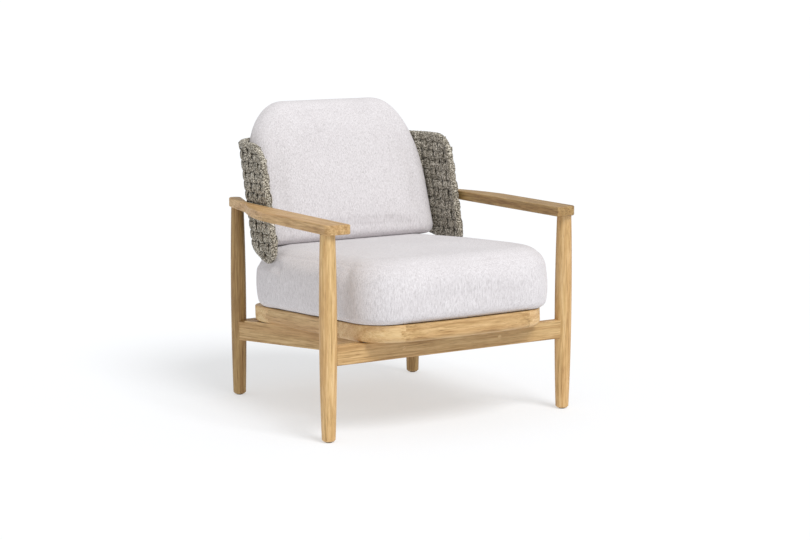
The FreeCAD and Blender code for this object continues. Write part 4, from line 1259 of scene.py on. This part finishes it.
@dataclass
class SeatCushion(Cushion):
    """A boxed seat cushion: a crowned top panel, a tall side band, and a seam between them.

    Lengths are in metres, in the seat plane, which falls towards the back from the ring's front edge.
    """

    body: str = "seat_cushion"
    fabric: str = "seat_fabric"
    tilt: float = math.radians(3)
    origin_y: float = -405 * MM
    origin_z: float = 308.7 * MM
    half: float = 313 * MM
    front: float = -9 * MM
    rear: float = 714 * MM
    bow: float = 23 * MM
    thickness: float = 174 * MM
    front_radius: float = 118 * MM
    rear_radius: float = 120 * MM
    lift: float = 1.2 * MM
    shrink: float = 5 * MM
    crown: float = 17 * MM
    foot_round: float = 21 * MM
    edge_round: float = 62 * MM
    band_bulge: float = 3 * MM
    crown_front: float = 190 * MM
    crown_rear: float = 620 * MM
    crown_fade: float = 260 * MM
    swell_room: float = 17 * MM
    level_from: float = 600 * MM
    level_over: float = 200 * MM
    fold: float = 6 * MM
    fold_depth: float = 118 * MM
    fold_slant: float = 0.12
    fold_width: float = 20 * MM
    fold_foot: float = 60 * MM
    fold_head: float = 50 * MM
    fold_over: float = 6 * MM
    fold_from: float = 0.75
    fold_share: float = 0.15
    seam_depth: float = 1.3 * MM
    seam_width: float = 4.0 * MM
    seam_hold: float = 0.55
    seam_drop: float = 20 * MM
    seam_inset: float = 40 * MM
    seam_slant: float = 0.6
    fill: float = 0.85
    look_in: float = 794 * MM
    zip_height: float = 78 * MM

    def outline(self, inset: float, count: int = 240) -> Points:
        """Draws the cushion's plan, moved in by the inset.

        Args:
            inset: how far inside the full plan.
            count: how many points.

        Returns:
            Rows of x and depth, even along the edge, starting in the middle of the front.
        """
        half = self.half - inset
        front, rear = self.front + inset, self.rear - inset
        fr, rr = self.front_radius - inset, self.rear_radius - inset
        arc = np.linspace(0, math.pi / 2, 40)
        bowed = front + self.bow * np.linspace(0, 1, 30) ** 2 * (half - fr) ** 2 / half ** 2
        front_line = np.stack([np.linspace(0, half - fr, 30), bowed], axis=1)
        start = bowed[-1]
        corner = np.stack([half - fr + fr * np.sin(arc), start + fr - fr * np.cos(arc)], axis=1)
        side = np.stack([np.full(20, half), np.linspace(start + fr, rear - rr, 20)], axis=1)
        back_corner = np.stack([half - rr + rr * np.cos(arc), rear - rr + rr * np.sin(arc)], axis=1)
        back_line = np.array([[0.0, rear]])
        right = np.concatenate([front_line, corner[1:], side[1:], back_corner[1:], back_line])
        left = right[1:-1][::-1] * np.array([-1, 1])
        return evenly(np.concatenate([right, left]), count)

    def form(self) -> bpy.types.Object:
        """Makes the closed form that is swollen afterwards."""
        base = self.shrink
        low, high = self.lift + base * 0.2, self.thickness - base
        profile = []
        foot, edge = self.foot_round, self.edge_round
        for angle in np.linspace(0, math.pi / 2, 8):
            profile.append((base + foot * (1 - math.sin(angle)), low + foot * (1 - math.cos(angle))))
        for part in np.linspace(0.15, 0.85, 5):
            profile.append((base - self.band_bulge * math.sin(math.pi * part),
                            low + foot + part * (high - low - foot - edge)))
        for angle in np.linspace(0, math.pi / 2, 14):
            profile.append((base + edge * (1 - math.cos(angle)), high - edge * (1 - math.sin(angle))))
        rings = [np.column_stack([self.outline(inset), np.full(240, height)]) for inset, height in profile]
        points, faces = closed_skin([self.to_chair(self.crowned(ring)) for ring in filled(rings)])
        return make_piece("seat_cushion_soft", points, faces, HeatherWeave())

    def crowned(self, points: Points) -> Points:
        """Raises the top towards its middle, less where the back cushion rests on it."""
        x, depth, height = points.T
        over = np.clip((height - self.thickness / 2) / (self.thickness / 2), 0, 1) ** 2
        side = np.clip(1 - (x / self.half) ** 2, 0, 1)
        along = smooth_step(depth / self.crown_front)
        along = along * smooth_step((self.crown_rear - depth) / self.crown_fade)
        return np.column_stack([x, depth, height + self.crown * over * side * along])

    def settled(self, points: Points) -> Points:
        """Keeps the cushion on the ring, and level where the back cushion stands on it."""
        x, depth, height = self.to_own(points).T
        room = self.thickness + self.swell_room * smooth_step((self.level_from - depth) / self.level_over)
        return self.to_chair(np.column_stack([x, depth, np.clip(height, self.lift, room)]))

    def crease(self, points: Points) -> Points:
        """Works out the depth of the soft upright fold behind each front corner."""
        x, depth, height = self.to_own(points).T
        beside = np.exp(-((depth - self.fold_depth - self.fold_slant * height) / self.fold_width) ** 2)
        beside *= smooth_step((np.abs(x) - self.half * self.fold_from) / (self.fold_share * self.half))
        return self.fold * beside * smooth_step(height / self.fold_foot) * smooth_step(
            (self.thickness + self.fold_over - height) / self.fold_head)

    def seam_distance(self, points: Points) -> Points:
        """Works out how far each point is from the nearest seam.

        Args:
            points: rows of x, y, z in the chair.

        Returns:
            Distances to the seam round the top panel, measured on the skin near it.
        """
        x, depth, height = self.to_own(points).T
        inside = np.clip(self.edge_inset(x, depth) - self.seam_inset, 0, None)
        return np.hypot(height - (self.thickness - self.seam_drop), inside * self.seam_slant)

    def edge_inset(self, x: Points, depth: Points) -> Points:
        """Works out how far inside the plan's edge each point is."""
        middle = (self.front + self.rear) / 2
        reach = (self.rear - self.front) / 2
        radius = (self.front_radius + self.rear_radius) / 2
        dx, dy = np.abs(x) - (self.half - radius), np.abs(depth - middle) - (reach - radius)
        outside = np.hypot(np.clip(dx, 0, None), np.clip(dy, 0, None)) + np.minimum(np.maximum(dx, dy), 0)
        return radius - outside

    def groove(self, points: Points) -> Points:
        """Adds the folds behind the front corners to the seam round the top panel."""
        return super().groove(points) + self.crease(points)


@dataclass
class BackCushion(Cushion):
    """An arched back cushion that stands on the seat, leans back and presses into the shell.

    Lengths are in metres, in the cushion's own leaning frame.
    """

    body: str = "back_cushion"
    fabric: str = "back_fabric"
    tilt: float = math.radians(19)
    origin_y: float = 77 * MM
    origin_z: float = 410 * MM
    half: float = 294 * MM
    near: float = 84 * MM
    far: float = 200 * MM
    top: float = 845 * MM
    arch_across: float = 143 * MM
    arch_up: float = 265 * MM
    foot: float = 27 * MM
    face_round: float = 46 * MM
    back_round: float = 68 * MM
    seat_front: float = -405 * MM
    seat_top: float = 482.5 * MM
    seat_fall: float = math.tan(math.radians(3))
    gap: float = -6 * MM
    shrink: float = 4 * MM
    crown: float = 9 * MM
    panel_edge: float = 34 * MM
    seam_depth: float = 0.6 * MM
    seam_width: float = 4 * MM
    seam_hold: float = 0.5
    fill: float = 0.8
    look_in: float = 320 * MM
    zip_height: float = 96 * MM

    def heights(self, depth: float) -> tuple[float, float]:
        """Returns the cushion's lowest and highest place at a depth, in the leaning frame."""
        middle = (self.near + self.far) / 2
        high = (self.top - self.origin_z + middle * math.sin(self.tilt)) / math.cos(self.tilt)
        slope, fall = math.tan(self.tilt), self.seat_fall
        base = self.origin_y + depth / math.cos(self.tilt)
        z = self.seat_top + self.gap - (base - self.seat_front - self.origin_z * slope) * fall
        z = z / (1 + slope * fall)
        low = (z - self.origin_z + depth * math.sin(self.tilt)) / math.cos(self.tilt)
        return low, high

    def outline(self, inset: float, depth: float, count: int = 220) -> Points:
        """Draws the cushion's front view at one depth, moved in by the inset.

        Args:
            inset: how far inside the full outline.
            depth: the depth in the leaning frame.
            count: how many points.

        Returns:
            Rows of x and up, even along the edge, starting in the middle of the bottom.
        """
        low, high = self.heights(depth)
        half, low, high = self.half - inset, low + inset * 0.6, high - inset
        across, rise, foot = self.arch_across - inset, self.arch_up - inset, self.foot
        arc = np.linspace(0, math.pi / 2, 40)
        right = np.concatenate([
            [[0.0, low]],
            np.stack([half - foot + foot * np.sin(arc), low + foot - foot * np.cos(arc)], axis=1),
            np.stack([half - across + across * np.cos(arc), high - rise + rise * np.sin(arc)], axis=1),
            [[0.0, high]]])
        left = right[1:-1][::-1] * np.array([-1, 1])
        return evenly(np.concatenate([right, left]), count)

    def form(self) -> bpy.types.Object:
        """Makes the closed form that is swollen afterwards."""
        base = self.shrink
        near, far = self.near + base * 0.7, self.far - base * 0.5
        face, back = self.face_round, self.back_round
        profile = []
        for angle in np.linspace(0, math.pi / 2, 12):
            profile.append((base + face * (1 - math.sin(angle)), near + face * (1 - math.cos(angle))))
        for angle in np.linspace(0, math.pi / 2, 14)[1:]:
            profile.append((base + back * (1 - math.cos(angle)), far - back * (1 - math.sin(angle))))
        rings = []
        for inset, depth in profile:
            flat = self.outline(inset, depth)
            rings.append(np.column_stack([flat[:, 0], np.full(len(flat), depth), flat[:, 1]]))
        points, faces = closed_skin([self.to_chair(self.crowned(ring)) for ring in filled(rings)])
        return make_piece("back_cushion_soft", WovenShell().hold_in(points), faces, HeatherWeave())

    def crowned(self, points: Points) -> Points:
        """Pushes the front face forwards towards its middle."""
        x, depth, up = points.T
        ahead = np.clip((self.near + self.far) / 2 - depth, 0, None) / (self.far - self.near) * 2
        side = np.clip(1 - (x / self.half) ** 2, 0, 1)
        low, high = self.heights(self.near)
        height = np.clip(np.sin(math.pi * np.clip((up - low) / (high - low), 0, 1)), 0, 1) ** 0.7
        return np.column_stack([x, depth - self.crown * ahead * side * height, up])

    def seam_distance(self, points: Points) -> Points:
        """Works out how far each point is from the seam round the front panel."""
        _, depth, _ = self.to_own(points).T
        return np.abs(depth - (self.near + self.panel_edge))


# ---------------------------------------------------------------- studio

@dataclass(frozen=True)
class LitFloor(Finish):
    """A white acrylic floor lit from below, which keeps the shadows pale."""

    glow: float = 0.5

    def title(self) -> str:
        """Returns the material's name."""
        return "lit_acrylic_floor"

    def shade(self, tree: bpy.types.NodeTree, shader: bpy.types.Node) -> None:
        """Adds an even glow to a dull white face."""
        set_inputs(tree, shader, {"Base Color": linear("#b4b6b9"), "Roughness": 1.0,
                                  "Specular IOR Level": 0.0, "Emission Color": (1, 1, 1, 1),
                                  "Emission Strength": self.glow})


@dataclass
class Studio:
    """A white floor lit from below, a soft light from high in front, an even surround and the camera."""

    camera_spot: tuple[float, float, float] = (-2.9810, -4.7525, 1.2514)
    turn: float = math.radians(32.51)
    dip: float = math.radians(8.77)
    lens: float = 89.55
    floor_size: float = 60.0
    far_clip: float = 200.0
    key_way: tuple[float, float, float] = (-0.08, 0.8, -1.0)
    key_strength: float = 2.0
    key_spread: float = 26.0
    surround_light: float = 0.62
    surround_seen: float = 1.05

    def floor(self) -> None:
        """Lays a plain white floor."""
        reach = self.floor_size / 2
        points = np.array([[-reach, -reach, 0], [reach, -reach, 0], [reach, reach, 0], [-reach, reach, 0]])
        make_piece("studio_floor", points, [(0, 1, 2, 3)], LitFloor())

    def sun(self, name: str, way: tuple[float, float, float], strength: float, spread: float) -> None:
        """Adds an even light from far away.

        Args:
            name: the light's name.
            way: the direction that the light travels.
            strength: its strength.
            spread: its angle in degrees; wide is soft.
        """
        data = bpy.data.lights.new(name, "SUN")
        data.energy = strength
        data.angle = math.radians(spread)
        lamp = bpy.data.objects.new(name, data)
        lamp.rotation_mode = "QUATERNION"
        lamp.rotation_quaternion = Vector(way).to_track_quat("-Z", "Y")
        bpy.context.scene.collection.objects.link(lamp)

    def surround(self) -> None:
        """Sets a plain surround: full white to look at, softer as a light."""
        world = bpy.data.worlds.new("studio")
        world.use_nodes = True
        tree = world.node_tree
        seen = add_node(tree, "ShaderNodeLightPath").outputs["Is Camera Ray"]
        level = spread(tree, seen, 0.0, 1.0, self.surround_light, self.surround_seen)
        set_inputs(tree, tree.nodes["Background"], {"Color": (1, 1, 1, 1), "Strength": level})
        bpy.context.scene.world = world

    def camera(self) -> None:
        """Sets the camera."""
        data = bpy.data.cameras.new("camera")
        data.lens = self.lens
        data.sensor_width = 36.0
        data.clip_end = self.far_clip
        camera = bpy.data.objects.new("camera", data)
        camera.location = self.camera_spot
        ahead = Vector((math.sin(self.turn) * math.cos(self.dip), math.cos(self.turn) * math.cos(self.dip),
                        -math.sin(self.dip)))
        camera.rotation_mode = "QUATERNION"
        camera.rotation_quaternion = ahead.to_track_quat("-Z", "Y")
        bpy.context.scene.collection.objects.link(camera)
        bpy.context.scene.camera = camera

    def build(self) -> None:
        """Sets the floor, the light and the camera."""
        self.floor()
        self.surround()
        self.sun("key", self.key_way, self.key_strength, self.key_spread)
        self.camera()
        bpy.context.scene.view_settings.view_transform = "Standard"
        LOG.info("studio set")


def main() -> None:
    """Builds the chair's sub-assemblies in order."""
    logging.basicConfig(level=logging.INFO, format="%(message)s")
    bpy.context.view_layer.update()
    TeakFrame().build()
    WovenShell().build()
    SeatCushion().build()
    BackCushion().build()
    Studio().build()


if __name__ == "__main__":
    main()
